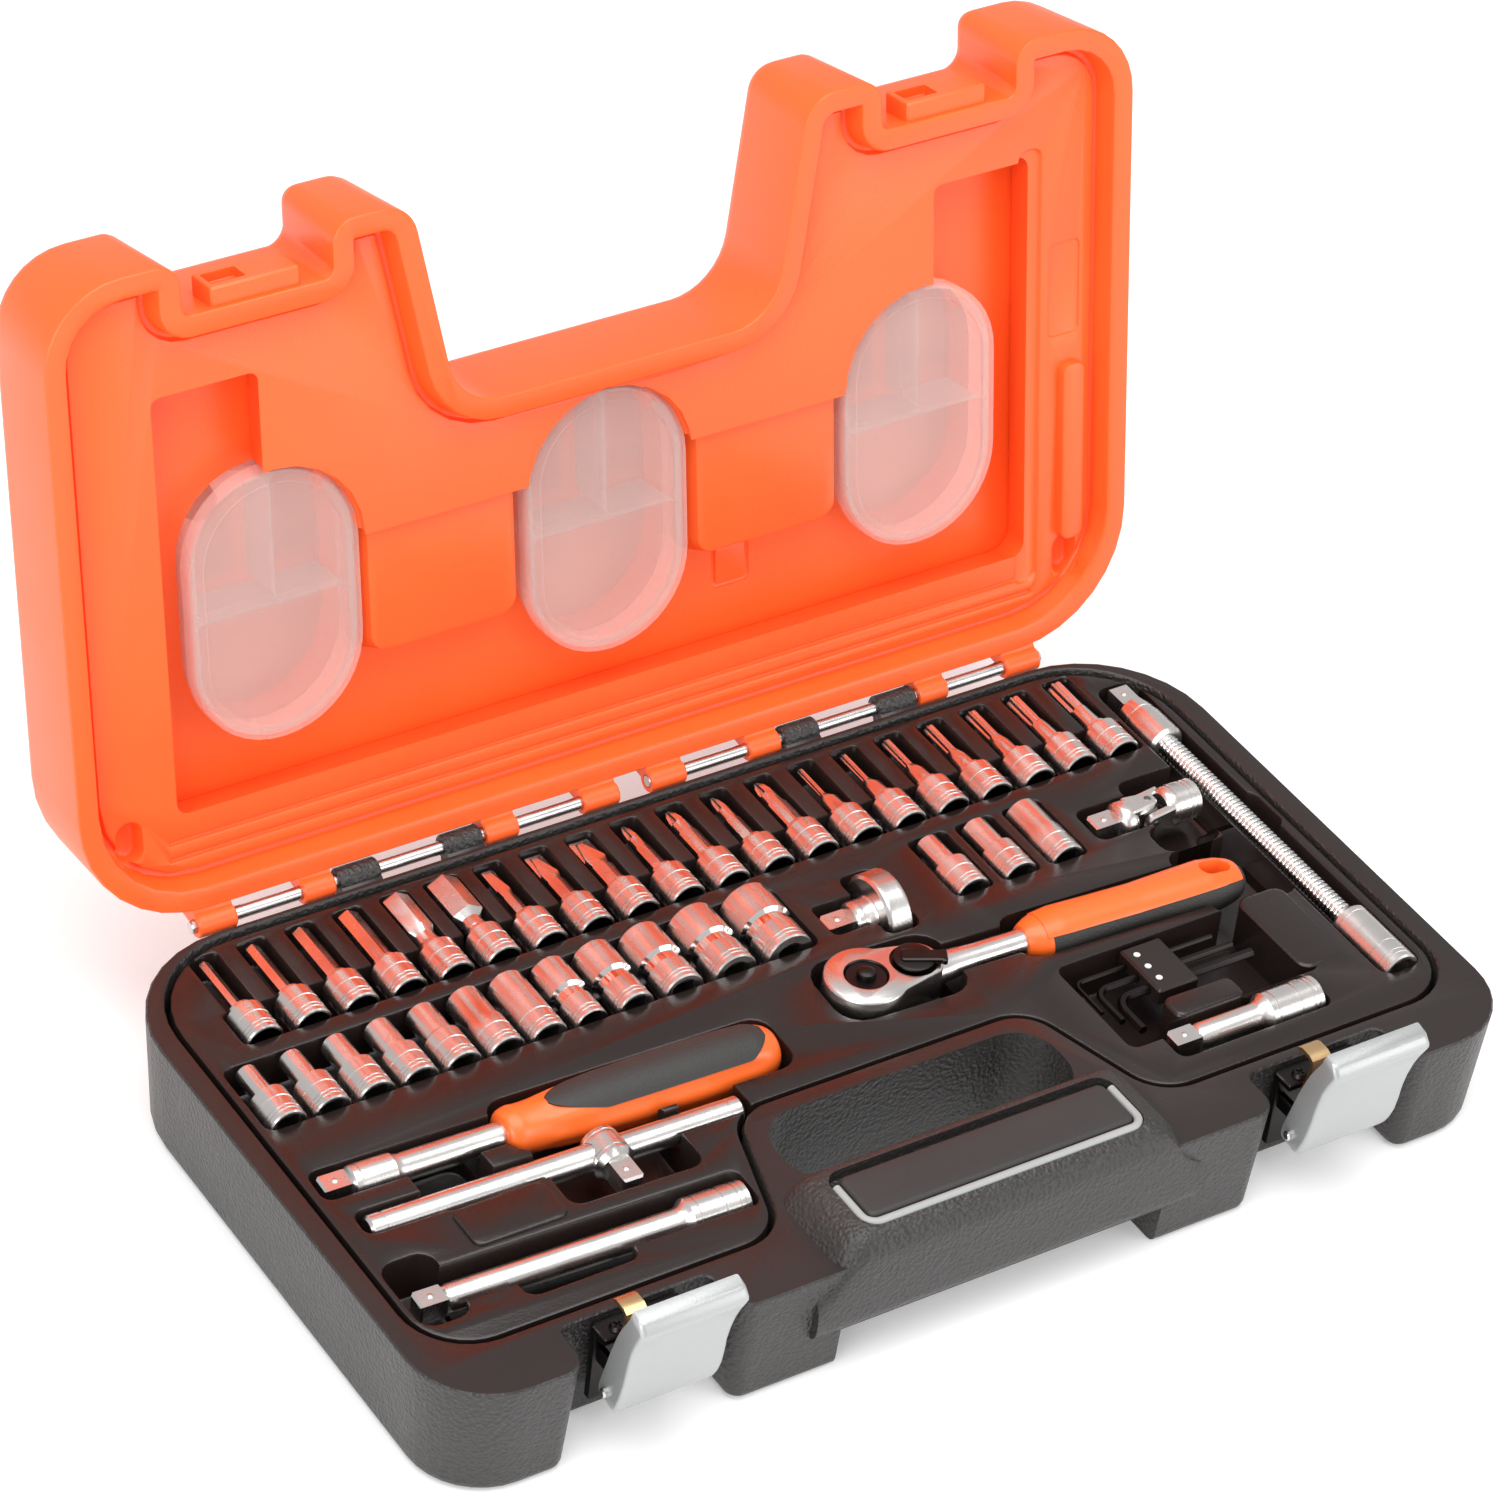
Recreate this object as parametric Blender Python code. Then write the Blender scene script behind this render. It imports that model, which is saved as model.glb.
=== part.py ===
"""A 1/4 inch socket wrench set in its moulded carrying case, modelled with the lid open.

Frame: X runs along the long side, Y towards the hinge, Z up, in metres. The origin is the
middle of the flat underside of the case. The lid is drawn closed and then turned open.
"""
import math

import bmesh
import bpy
from mathutils import Matrix, Vector

MM = 0.001

# Fits
GAP = 0.4 * MM            # between fixed pieces that touch
POCKET_GAP = 0.7 * MM     # around a tool in its pocket
RUN = 0.1 * MM            # between a pin and its bore

# Case
CASE_W = 352 * MM
CASE_D = 196 * MM
BASE_H = 38 * MM
LID_H = 37 * MM
WALL = 2.5 * MM
RIM = 6.9 * MM
BASE_DRAFT = math.radians(4)
LID_DRAFT = math.radians(3)
BACK_CORNER = 38 * MM
FRONT_CORNER = 24 * MM
LID_EDGE = 5 * MM         # rounding of the lid's outer edge
LID_OPEN = math.radians(101)

# Hinge
HINGE_BEHIND = 4.2 * MM   # pin axis behind the back edge
PIN_R = 2.0 * MM
KNUCKLE_WALL = 1.6 * MM
LID_KNUCKLES = ((131, 143), (99.5, 109.5), (39.5, 50), (5.5, 17.3))
BASE_KNUCKLES = ((85, 98), (51.5, 63.5))
KNUCKLE_ARM = 9 * MM

# Latches
LATCH_X = 111.5 * MM
LATCH_W = 33 * MM
NOTCH_W = 46 * MM         # recess in the front of base and lid
NOTCH_D = 16 * MM
LATCH_PIN_R = 1.5 * MM
LATCH_PIN_Z = 24 * MM
LEVER_L = 42 * MM
LEVER_T = 2.2 * MM
LEVER_OPEN = math.radians(11)
EAR_R = 3.4 * MM
EAR_T = 2 * MM
BRACKET_SIDE = 0.8 * MM   # between the bracket and the lever's side walls
CHEEK_R = 3.2 * MM
CHEEK_T = 2.5 * MM
HOOK_PIVOT = (3.5 * MM, -1 * MM)   # Y and Z from the lever's pin, lever shut
HOOK_ROD_R = 1 * MM
HOOK_W = 12 * MM
HOOK_T = 1.4 * MM
HOOK_FOLLOW = 0.85        # share of the lever's turn that the hook turns back
LEDGE = 7.5 * MM          # bracket's ledge for its screws
CATCH_W = 26 * MM
CATCH_D = 6 * MM
CATCH_LOW = 3 * MM        # catch block above the lid's rim plane
CATCH_HIGH = 13 * MM

# Handle
HAND_W = 93 * MM
HAND_BACK = 37 * MM       # distance of the hand opening's edges in front of the middle
HAND_FRONT = 66 * MM
HAND_CORNER = 12 * MM
BAR_W = 120 * MM
BAR_RISE = 8 * MM         # bar top above the rim
BAR_UNDER = 14 * MM       # underside of the bar above the ground
GRIP_W = 87 * MM
GRIP_D = 17 * MM
GRIP_T = 3 * MM
PIPING = 2.2 * MM

# Tray
GROOVE = 1.6 * MM         # visible gap between tray and rim
TRAY_SINK = 0.6 * MM      # tray top below the rim
TRAY_BACK_STRIP = 4 * MM
TRAY_FRONT_STRIP = 21.5 * MM
TRAY_CORNER = 18 * MM
TRAY_SKIN = 2.5 * MM
HANDLE_BAY_BACK = 30 * MM
HANDLE_BAY_W = (98 * MM, 126 * MM)

# Tools
SQUARE = 6.35 * MM        # quarter inch drive
TIP_L = 8 * MM
SOCKET_L = 25 * MM
SOCKET_SIZES = (4, 4.5, 5, 5.5, 6, 7, 8, 9, 10, 11, 12, 13)
SOCKET_DRIVE_D = 11.8 * MM
SOCKET_SPACE = 1.85 * MM
SOCKET_FIRST_X = -158 * MM
SOCKET_FRONT_Y = 20 * MM
SOCKET_AXIS_Z = 35 * MM
STAR_SIZES = (4.7, 5.5, 7.3)
STAR_X = (65.8 * MM, 82.3 * MM, 98.9 * MM)
BIT_COUNT = 20
BIT_L = 36.5 * MM
BIT_FIRST_X = -147 * MM
BIT_PITCH = 15.23 * MM
BIT_FRONT_Y = 53.5 * MM
BIT_BODY_L = 12.5 * MM    # the socket part of a bit socket
BIT_SLOT_W = 9.2 * MM     # slot for the bit itself
SHAFT_R = 4.1 * MM
BOSS_R = 6.1 * MM         # socket ends of the extensions
BOSS_L = 20 * MM

TANG_L = 12 * MM          # shaft inside a grip
EXT_LONG_L = 100 * MM
EXT_LONG_AT = (-161 * MM, -53.8 * MM, 32 * MM)
EXT_LONG_TURN = math.radians(-2)
EXT_SHORT_L = 50 * MM
EXT_SHORT_AT = (78.5 * MM, -60.4 * MM, 35 * MM)
FLEX_L = 143 * MM
FLEX_AT = (157.5 * MM, 79.5 * MM, 35 * MM)
FLEX_DRIVE_L = 28 * MM
FLEX_SOCKET_L = 27 * MM
FLEX_SHAFT_R = 3.7 * MM
UJ_L = 36.5 * MM
UJ_AT = (113 * MM, 28.6 * MM, 35 * MM)
UJ_CENTRE = 19.5 * MM
UJ_REACH = UJ_L - UJ_CENTRE
UJ_SWING = math.radians(20)
FORK_ROOT = 5.2 * MM      # fork roots from the cross's centre
FORK_W = 5 * MM
FORK_IN = 3.1 * MM
FORK_OUT = 5.6 * MM
CROSS_PIN_R = 1.3 * MM
DISC_R = 12.5 * MM
DISC_T = 8 * MM
DISC_NECK_L = 15 * MM
DISC_Y = 27 * MM
DISC_Z = 33 * MM
DISC_SHARE = 0.296660    # of the free room between the socket row and the star sockets
RATCHET_AT = (14 * MM, -1.5 * MM, 35.2 * MM)
RATCHET_TURN = math.radians(-2.8)
RATCHET_L = 127 * MM      # from the drive axis to the end of the grip
RATCHET_GRIP_X = 52 * MM
RATCHET_GRIP_R = 8.3 * MM
HEAD_R = 12.3 * MM
HEAD_END_R = 8.5 * MM
HEAD_LOW = -5.7 * MM      # heights from the ratchet's own axis
HEAD_HIGH = 5.7 * MM
HEAD_REACH = 25 * MM
LEVER_X = 15.5 * MM
LEVER_PLATE = 2.4 * MM
REVERSE_REST = math.radians(-25)
PEG_R = 1.8 * MM
PEG_L = 4 * MM
SPINDLE_R = 7 * MM
SPINDLE_TOP = 1.5 * MM
SPINDLE_LOW = -13.5 * MM
BUTTON_R = 2.8 * MM
BUTTON_TRAVEL = 1.5 * MM
SPINNER_L = 141 * MM
SPINNER_AT = (-163 * MM, -6 * MM, 34.5 * MM)
SPINNER_TURN = math.radians(-1.7)
SPINNER_GRIP_X = 55 * MM
SPINNER_R = 9.6 * MM
TBAR_L = 115 * MM
TBAR_AT = (-158.7 * MM, -23.8 * MM, 34 * MM)
TBAR_TURN = math.radians(-1.7)
TBAR_HEAD_X = 73 * MM
TBAR_SLIDE = 12 * MM
THEAD_R = 6.3 * MM
THEAD_BACK = 5.3 * MM
THEAD_TIP = 15 * MM
KEY_SIZES = (1.27 * MM, 2 * MM, 2.5 * MM)
KEYS_AT = (70 * MM, -25 * MM, 34 * MM)
KEY_LONG = 48 * MM
KEY_SHORT = 14 * MM
KEY_PITCH = 5.5 * MM
KEY_STAGGER = 3.2 * MM
KEY_SLIDE = 14 * MM
KEY_BAY_D = 27.5 * MM
KEY_HOLDER_X = 18 * MM
KEY_HOLDER_L = 14 * MM
KEY_HOLDER_H = 6 * MM

# Organizers in the lid
BOX_W = 50 * MM
BOX_L = 80 * MM
BOX_DEPTH = 20 * MM
BOX_WALL = 1.4 * MM
COVER_T = 1.5 * MM
BOX_FRONT = 10 * MM       # mouth of the box behind the lid's rim plane
BOX_PITCH = 107 * MM
BOX_FROM_HINGE = (87 * MM, 83 * MM, 87 * MM)
LINER_FACE = 20 * MM
LINER_T = 3 * MM
LINER_WALL = 2.5 * MM

# Derived places
RIM_Z = BASE_H
TRAY_TOP = RIM_Z - TRAY_SINK
HINGE_Y = CASE_D / 2 + HINGE_BEHIND
HINGE_Z = RIM_Z + GAP / 2
FRONT_Y = -CASE_D / 2
LID_Z = RIM_Z + GAP
NOTCH_FLOOR_Y = FRONT_Y + NOTCH_D
BRACKET_W = LATCH_W - 2 * LEVER_T - 2 * BRACKET_SIDE
TRAY_FRONT_Y = FRONT_Y + TRAY_FRONT_STRIP
TRAY_W = CASE_W - 2 * (RIM + GROOVE)
TRAY_UNDER = 18 * MM      # ceiling of the hollow under the tray
ROWS_UNDER = 23.4 * MM    # and under the two rows of sockets
SIDES = (("left", -1), ("right", 1))
LATCH_PIN_Y = FRONT_Y + 2 * MM

# ---------------------------------------------------------------- scene and materials

for old in list(bpy.data.objects):
    bpy.data.objects.remove(old, do_unlink=True)


def material(name, colour, roughness, metallic=0.0, alpha=1.0):
    """A Principled material of one colour."""
    made = bpy.data.materials.new(name)
    made.use_nodes = True
    shader = made.node_tree.nodes["Principled BSDF"]
    shader.inputs["Base Color"].default_value = (*colour, 1.0)
    shader.inputs["Roughness"].default_value = roughness
    shader.inputs["Metallic"].default_value = metallic
    shader.inputs["Alpha"].default_value = alpha
    return made


BLACK_SHELL = material("black_shell", (0.025, 0.024, 0.024), 0.55)
BLACK_TRAY = material("black_tray", (0.03, 0.022, 0.02), 0.4)
ORANGE = material("orange_shell", (0.9, 0.12, 0.02), 0.45)
RUBBER = material("black_rubber", (0.02, 0.02, 0.02), 0.75)
PIPING_GREY = material("grey_piping", (0.55, 0.57, 0.56), 0.5)
CHROME = material("satin_chrome", (0.72, 0.7, 0.68), 0.28, 1.0)
STEEL = material("plain_steel", (0.6, 0.6, 0.6), 0.3, 1.0)
LATCH_SILVER = material("latch_silver", (0.62, 0.63, 0.62), 0.4, 0.3)
BRASS = material("hook_brass", (0.7, 0.5, 0.25), 0.3, 1.0)
FROSTED = material("frosted_clear", (0.9, 0.85, 0.85), 0.35, 0.0, 0.5)
BLACK_STEEL = material("black_steel", (0.02, 0.02, 0.022), 0.4, 0.6)

# ---------------------------------------------------------------- building blocks


def inset(corners, distance):
    """Moves every edge of a counter-clockwise polygon of (x, y, radius) inwards."""
    moved = []
    count = len(corners)
    for i, (x, y, radius) in enumerate(corners):
        here = Vector((x, y))
        before = here - Vector(corners[i - 1][:2])
        after = Vector(corners[(i + 1) % count][:2]) - here
        normal_in = Vector((-before.y, before.x)).normalized()
        normal_out = Vector((-after.y, after.x)).normalized()
        turn = before.x * after.y - before.y * after.x
        shift = (normal_in + normal_out) * (distance / (1 + normal_in.dot(normal_out)))
        new_radius = radius - distance if turn > 0 else radius + distance
        moved.append((x + shift.x, y + shift.y, max(new_radius, 0.5 * MM)))
    return moved


def rounded(corners, steps=4):
    """Points of a polygon of (x, y, radius) with its corners rounded by arcs."""
    points = []
    count = len(corners)
    for i, (x, y, radius) in enumerate(corners):
        here = Vector((x, y))
        back = (Vector(corners[i - 1][:2]) - here).normalized()
        ahead = (Vector(corners[(i + 1) % count][:2]) - here).normalized()
        half = back.angle(ahead) / 2
        centre = here + (back + ahead).normalized() * radius / math.sin(half)
        first = here + back * radius / math.tan(half) - centre
        last = here + ahead * radius / math.tan(half) - centre
        sweep = first.angle_signed(last)
        for k in range(steps + 1):
            turned = Matrix.Rotation(-sweep * k / steps, 2) @ first
            points.append(centre + turned)
    return points


def loft(rings):
    """A closed body through rings of equal counts, with flat caps on its ends."""
    body = bmesh.new()
    rows = [[body.verts.new(p) for p in ring] for ring in rings]
    count = len(rows[0])
    for low, high in zip(rows, rows[1:]):
        for i in range(count):
            j = (i + 1) % count
            body.faces.new((low[i], low[j], high[j], high[i]))
    body.faces.new(list(reversed(rows[0])))
    body.faces.new(rows[-1])
    bmesh.ops.recalc_face_normals(body, faces=body.faces)
    return body


def slab(corners, low, high, steps=4, draft=0.0):
    """An upright prism of a rounded outline, narrower at its lower end by the draft."""
    under = inset(corners, (high - low) * math.tan(draft)) if draft else corners
    bottom = [(p.x, p.y, low) for p in rounded(under, steps)]
    top = [(p.x, p.y, high) for p in rounded(corners, steps)]
    return loft([bottom, top])


def box(low, high):
    """A plain box between two corners."""
    body = bmesh.new()
    bmesh.ops.create_cube(body, size=1.0)
    middle = (Vector(low) + Vector(high)) / 2
    size = Vector(high) - Vector(low)
    bmesh.ops.scale(body, vec=size, verts=body.verts)
    bmesh.ops.translate(body, vec=middle, verts=body.verts)
    return body


def ring_radius(shape, angle):
    """Distance from the axis to a round, square or six-sided outline at an angle."""
    if not isinstance(shape, tuple):
        return shape
    kind, across = shape
    sides = {"square": 4, "hex": 6}[kind]
    step = math.tau / sides
    return across / 2 / math.cos((angle % step) - step / 2)


def turned(sections, steps=12):
    """A body along +X through sections (x, shape); a hollow end runs back inside itself."""
    rings = []
    for x, shape in sections:
        ring = []
        for k in range(steps):
            angle = math.tau * k / steps
            radius = ring_radius(shape, angle)
            ring.append((x, radius * math.cos(angle), radius * math.sin(angle)))
        rings.append(ring)
    return loft(rings)


def profile_x(points, low, high):
    """A prism along X of an outline of (y, z) points."""
    return loft([[(low, y, z) for y, z in points], [(high, y, z) for y, z in points]])


def place(body, where, turn=0.0, axis="Z"):
    """Turns a body about an axis through the origin and moves it."""
    matrix = Matrix.Translation(where) @ Matrix.Rotation(turn, 4, axis)
    bmesh.ops.transform(body, matrix=matrix, verts=body.verts)
    return body


def piece(name, body, surface, pivot=(0, 0, 0), parent=None):
    """Makes an object of a body, with its origin on its pivot."""
    pivot = Vector(pivot)
    bmesh.ops.translate(body, vec=-pivot, verts=body.verts)
    mesh = bpy.data.meshes.new(name)
    body.to_mesh(mesh)
    body.free()
    made = bpy.data.objects.new(name, mesh)
    bpy.context.scene.collection.objects.link(made)
    made.data.materials.append(surface)
    made.location = pivot
    if parent:
        made.parent = parent
        made.location = pivot - parent.location
    return made


def axis_empty(name, where, turn=0.0):
    """An empty on a joint's axis, turned about X."""
    made = bpy.data.objects.new(name, None)
    bpy.context.scene.collection.objects.link(made)
    made.location = where
    made.rotation_euler = (turn, 0, 0)
    return made


def combine(target, body, operation):
    """Cuts a body out of an object, or joins it on, and keeps the result as its mesh."""
    tool = piece("cutter", body, target.data.materials[0])
    tool.hide_render = True
    tool.display_type = "WIRE"
    change = target.modifiers.new(operation.lower(), "BOOLEAN")
    change.operation = operation
    change.object = tool
    graph = bpy.context.evaluated_depsgraph_get()
    result = bpy.data.meshes.new_from_object(target.evaluated_get(graph))
    target.modifiers.clear()
    target.data = result
    bpy.data.objects.remove(tool, do_unlink=True)


def cut(target, body):
    combine(target, body, "DIFFERENCE")


def join(target, body):
    combine(target, body, "UNION")


def smooth(made, angle=35):
    """Shades a round piece smooth, with its edges kept sharp."""
    made.data.shade_smooth()
    made.data.set_sharp_from_angle(angle=math.radians(angle))
    return made


# ---------------------------------------------------------------- outlines of the case


def mirrored(right_half):
    """A symmetric outline: the right half from front to back, then the left half."""
    left_half = [(-x, y, r) for x, y, r in reversed(right_half)]
    return right_half + left_half


def base_corners():
    """Outline of the base at its rim, counter-clockwise, with a recess for each latch."""
    inner = LATCH_X - NOTCH_W / 2
    outer = LATCH_X + NOTCH_W / 2
    edge = 7 * MM
    root = 3 * MM
    return mirrored([
        (inner, FRONT_Y, edge), (inner, NOTCH_FLOOR_Y, root),
        (outer, NOTCH_FLOOR_Y, root), (outer, FRONT_Y, edge),
        (CASE_W / 2, FRONT_Y, FRONT_CORNER), (CASE_W / 2, CASE_D / 2, BACK_CORNER)])


def lid_corners():
    """Outline of the lid at its rim: the base's, with a bay that clears the handle."""
    front = base_corners()[:6]
    bay_front = (BAR_W / 2 + 4 * MM, FRONT_Y, 11 * MM)
    bay_back = (HAND_W / 2 + 5 * MM, -(HAND_BACK - 4 * MM), 17 * MM)
    return mirrored([bay_back, bay_front] + front)


def tray_corners():
    """Outline of the tool tray, which goes round the hand opening."""
    back = CASE_D / 2 - TRAY_BACK_STRIP
    return mirrored([
        (HANDLE_BAY_W[0] / 2, -HANDLE_BAY_BACK, 14 * MM),
        (HANDLE_BAY_W[1] / 2, TRAY_FRONT_Y, 14 * MM),
        (TRAY_W / 2, TRAY_FRONT_Y, TRAY_CORNER), (TRAY_W / 2, back, BACK_CORNER - RIM)])


def stadium(width, length, grow=0.0):
    """Corners of a slot shape along Y about the origin, with full round ends."""
    x = width / 2 + grow
    y = length / 2 + grow
    radius = x - 0.05 * MM
    return [(x, -y, radius), (x, y, radius), (-x, y, radius), (-x, -y, radius)]


def rectangle(x0, x1, y0, y1, radius):
    return [(x1, y0, radius), (x1, y1, radius), (x0, y1, radius), (x0, y0, radius)]


# ---------------------------------------------------------------- case


def bar_ring(x, top):
    """Cross-section of the handle bar at a place along X."""
    front = FRONT_Y - 1 * MM
    back = -HAND_FRONT
    corners = [(front, BAR_UNDER, 6 * MM), (back, BAR_UNDER, 6 * MM),
               (back, top, 5 * MM), (front, top, 7 * MM)]
    return [(x, p.x, p.y) for p in rounded(corners, 3)]


def knuckle(span, side, way):
    """A hinge knuckle with its arm: way is -1 on the base, whose arm hangs, and 1 on the lid."""
    radius = PIN_R + RUN + KNUCKLE_WALL
    inside = CASE_D / 2 - 2 * MM
    points = []
    for k in range(10):
        angle = math.radians(-90 + 270 * k / 9)
        points.append((HINGE_Y + radius * math.cos(angle), HINGE_Z - way * radius * math.sin(angle)))
    points += [(inside, HINGE_Z + way * 1.2 * MM), (inside, HINGE_Z + way * KNUCKLE_ARM),
               (HINGE_Y - 1 * MM, HINGE_Z + way * KNUCKLE_ARM)]
    low, high = sorted(side * value * MM for value in span)
    return profile_x(points, low, high)


def hinge_bore():
    """The hole for both pins, through every knuckle."""
    bore = turned([(-CASE_W / 2, PIN_R + RUN), (CASE_W / 2, PIN_R + RUN)], 16)
    return place(bore, (0, HINGE_Y, HINGE_Z))


def grip_corners():
    """Outline of the soft grip, in the middle of the bar's top."""
    middle = (FRONT_Y - HAND_FRONT) / 2
    return rectangle(-GRIP_W / 2, GRIP_W / 2, middle - GRIP_D / 2, middle + GRIP_D / 2, 2 * MM)


def make_base():
    shell = piece("base_shell", slab(base_corners(), 0, RIM_Z, 4, BASE_DRAFT), BLACK_SHELL)
    rise = RIM_Z + BAR_RISE
    half = BAR_W / 2
    join(shell, loft([bar_ring(x, top) for x, top in (
        (-half - 3 * MM, RIM_Z - 6 * MM), (-half + 2 * MM, RIM_Z - 2 * MM), (-half + 10 * MM, rise),
        (half - 10 * MM, rise), (half - 2 * MM, RIM_Z - 2 * MM), (half + 3 * MM, RIM_Z - 6 * MM))]))
    cut(shell, slab(inset(tray_corners(), -GROOVE), WALL, RIM_Z + 20 * MM))
    opening = rectangle(-HAND_W / 2, HAND_W / 2, -HAND_FRONT, -HAND_BACK, HAND_CORNER)
    cut(shell, slab(opening, -MM, RIM_Z + MM))
    reach = half - 7 * MM
    under = rectangle(-reach, reach, FRONT_Y - 9 * MM, -HAND_FRONT + 6 * MM, 8 * MM)
    cut(shell, slab(under, -MM, BAR_UNDER + 0.2 * MM))
    recess = inset(grip_corners(), -(PIPING + 2 * GAP))
    cut(shell, slab(recess, rise - GRIP_T - GAP, rise + MM, 2))
    for _, side in SIDES:
        for span in BASE_KNUCKLES:
            join(shell, knuckle(span, side, -1))
    cut(shell, hinge_bore())
    smooth(shell, 30)


def make_grip():
    """The soft pad on the bar, and the light strip round its front and ends."""
    low = RIM_Z + BAR_RISE - GRIP_T
    high = RIM_Z + BAR_RISE + 0.6 * MM
    piece("handle_grip", slab(grip_corners(), low, high, 2), RUBBER)
    strip = piece("grip_piping", slab(inset(grip_corners(), -(PIPING + GAP)), low, high, 2), PIPING_GREY)
    cut(strip, slab(inset(grip_corners(), -GAP), low - MM, high + MM, 2))
    back = (FRONT_Y - HAND_FRONT) / 2 + GRIP_D / 2 - 0.2 * MM
    cut(strip, box((-GRIP_W, back, low - MM), (GRIP_W, back + GRIP_D, high + MM)))


def make_hinge_pins():
    for name, side in SIDES:
        length = (LID_KNUCKLES[0][1] - LID_KNUCKLES[-1][0]) * MM + 1.5 * MM
        start = LID_KNUCKLES[-1][0] * MM
        pin = turned([(0, PIN_R - 0.3 * MM), (0.4 * MM, PIN_R), (length, PIN_R),
                      (length + 0.4 * MM, PIN_R - 0.3 * MM)], 16)
        pin = place(pin, (0, 0, 0), math.pi if side < 0 else 0)
        pin = place(pin, (side * start, HINGE_Y, HINGE_Z))
        smooth(piece("hinge_pin_" + name, pin, STEEL, (0, HINGE_Y, HINGE_Z)))


# ---------------------------------------------------------------- lid


def lid_ring(distance, height):
    return [(p.x, p.y, height) for p in rounded(inset(lid_corners(), distance), 4)]


def make_lid(axis):
    """The outer shell and, inside it, the liner that the organizers sit in."""
    top = LID_Z + LID_H
    shoulder = top - LID_EDGE
    lean = (LID_H - LID_EDGE) * math.tan(LID_DRAFT)
    body = loft([lid_ring(0, LID_Z), lid_ring(lean, shoulder),
                 lid_ring(lean + 0.3 * LID_EDGE, top - 0.3 * LID_EDGE),
                 lid_ring(lean + LID_EDGE, top)])
    hinge = (0, HINGE_Y, HINGE_Z)
    shell = piece("lid_shell", body, ORANGE, hinge, axis)
    shell.parent = None
    shell.location = hinge
    rim = inset(lid_corners(), RIM)
    cut(shell, slab(rim, LID_Z - MM, top - WALL))
    for _, side in SIDES:
        for span in LID_KNUCKLES:
            join(shell, knuckle(span, side, 1))
        x = side * LATCH_X
        join(shell, box((x - CATCH_W / 2, NOTCH_FLOOR_Y - CATCH_D, LID_Z + CATCH_LOW),
                            (x + CATCH_W / 2, NOTCH_FLOOR_Y + 3 * MM, LID_Z + CATCH_HIGH)))
    cut(shell, hinge_bore())
    smooth(shell, 30)
    hang(shell, axis)

    outer = inset(lid_corners(), RIM + GAP)
    liner = piece("lid_liner", slab(outer, LID_Z + 1.5 * MM, top - WALL - GAP), ORANGE)
    inner = inset(lid_corners(), RIM + GAP + LINER_WALL)
    cut(liner, slab(inner, LID_Z, LID_Z + LINER_FACE))
    cut(liner, slab(inner, LID_Z + LINER_FACE + LINER_T, top))
    for i, from_hinge in enumerate(BOX_FROM_HINGE):
        hole = slab(stadium(BOX_W, BOX_L, GAP), 0, LID_H, 5)
        cut(liner, place(hole, (box_x(i), HINGE_Y - from_hinge, LID_Z)))
    smooth(liner, 30)
    move_origin(liner, hinge)
    hang(liner, axis)


def move_origin(made, pivot):
    """Puts an object's origin on a point and leaves its shape where it is."""
    made.data.transform(Matrix.Translation(-Vector(pivot)))
    made.location = pivot


def hang(made, axis):
    """Parents a piece drawn at the closed lid to the lid's axis, which turns it open."""
    place_now = Vector(made.location)
    made.parent = axis
    made.location = place_now - axis.location


def box_x(i):
    """Middle of an organizer, counted from the left."""
    return (i - 1) * BOX_PITCH


def make_organizers(axis):
    """Three clear boxes, each with three compartments and a cover that lifts off."""
    mouth = LID_Z + BOX_FRONT
    for i, from_hinge in enumerate(BOX_FROM_HINGE):
        where = Vector((box_x(i), HINGE_Y - from_hinge, mouth))
        made = piece("organizer_box_%d" % (i + 1), slab(stadium(BOX_W, BOX_L), 0, BOX_DEPTH, 5), FROSTED)
        half = BOX_W / 2 - BOX_WALL
        end = BOX_L / 2 - BOX_WALL
        gap = BOX_WALL / 2
        round_end = half - 0.1 * MM
        depth = BOX_DEPTH - BOX_WALL
        cut(made, slab([(half, gap, 2 * MM), (half, end, round_end),
                        (-half, end, round_end), (-half, gap, 2 * MM)], -MM, depth, 5))
        for side in (-1, 1):
            near, far = sorted((side * gap, side * half))
            inner_r = 2 * MM
            outer_r = far - near - inner_r - 0.1 * MM
            lower = [(far, -end, outer_r if side > 0 else inner_r), (far, -gap, inner_r),
                     (near, -gap, inner_r), (near, -end, outer_r if side < 0 else inner_r)]
            cut(made, slab(lower, -MM, depth, 5))
        hang_at(made, where, axis)
        cover = piece("organizer_cover_%d" % (i + 1),
                      slab(stadium(BOX_W, BOX_L, COVER_T), -COVER_T - GAP, 4 * MM, 5), FROSTED)
        cut(cover, slab(stadium(BOX_W, BOX_L, GAP), -GAP, 5 * MM, 5))
        hang_at(cover, where, axis)


def hang_at(made, where, axis):
    """Moves a piece drawn at the origin to its place in the closed lid and hangs it there."""
    made.location = where
    hang(made, axis)


# ---------------------------------------------------------------- latches


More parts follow.
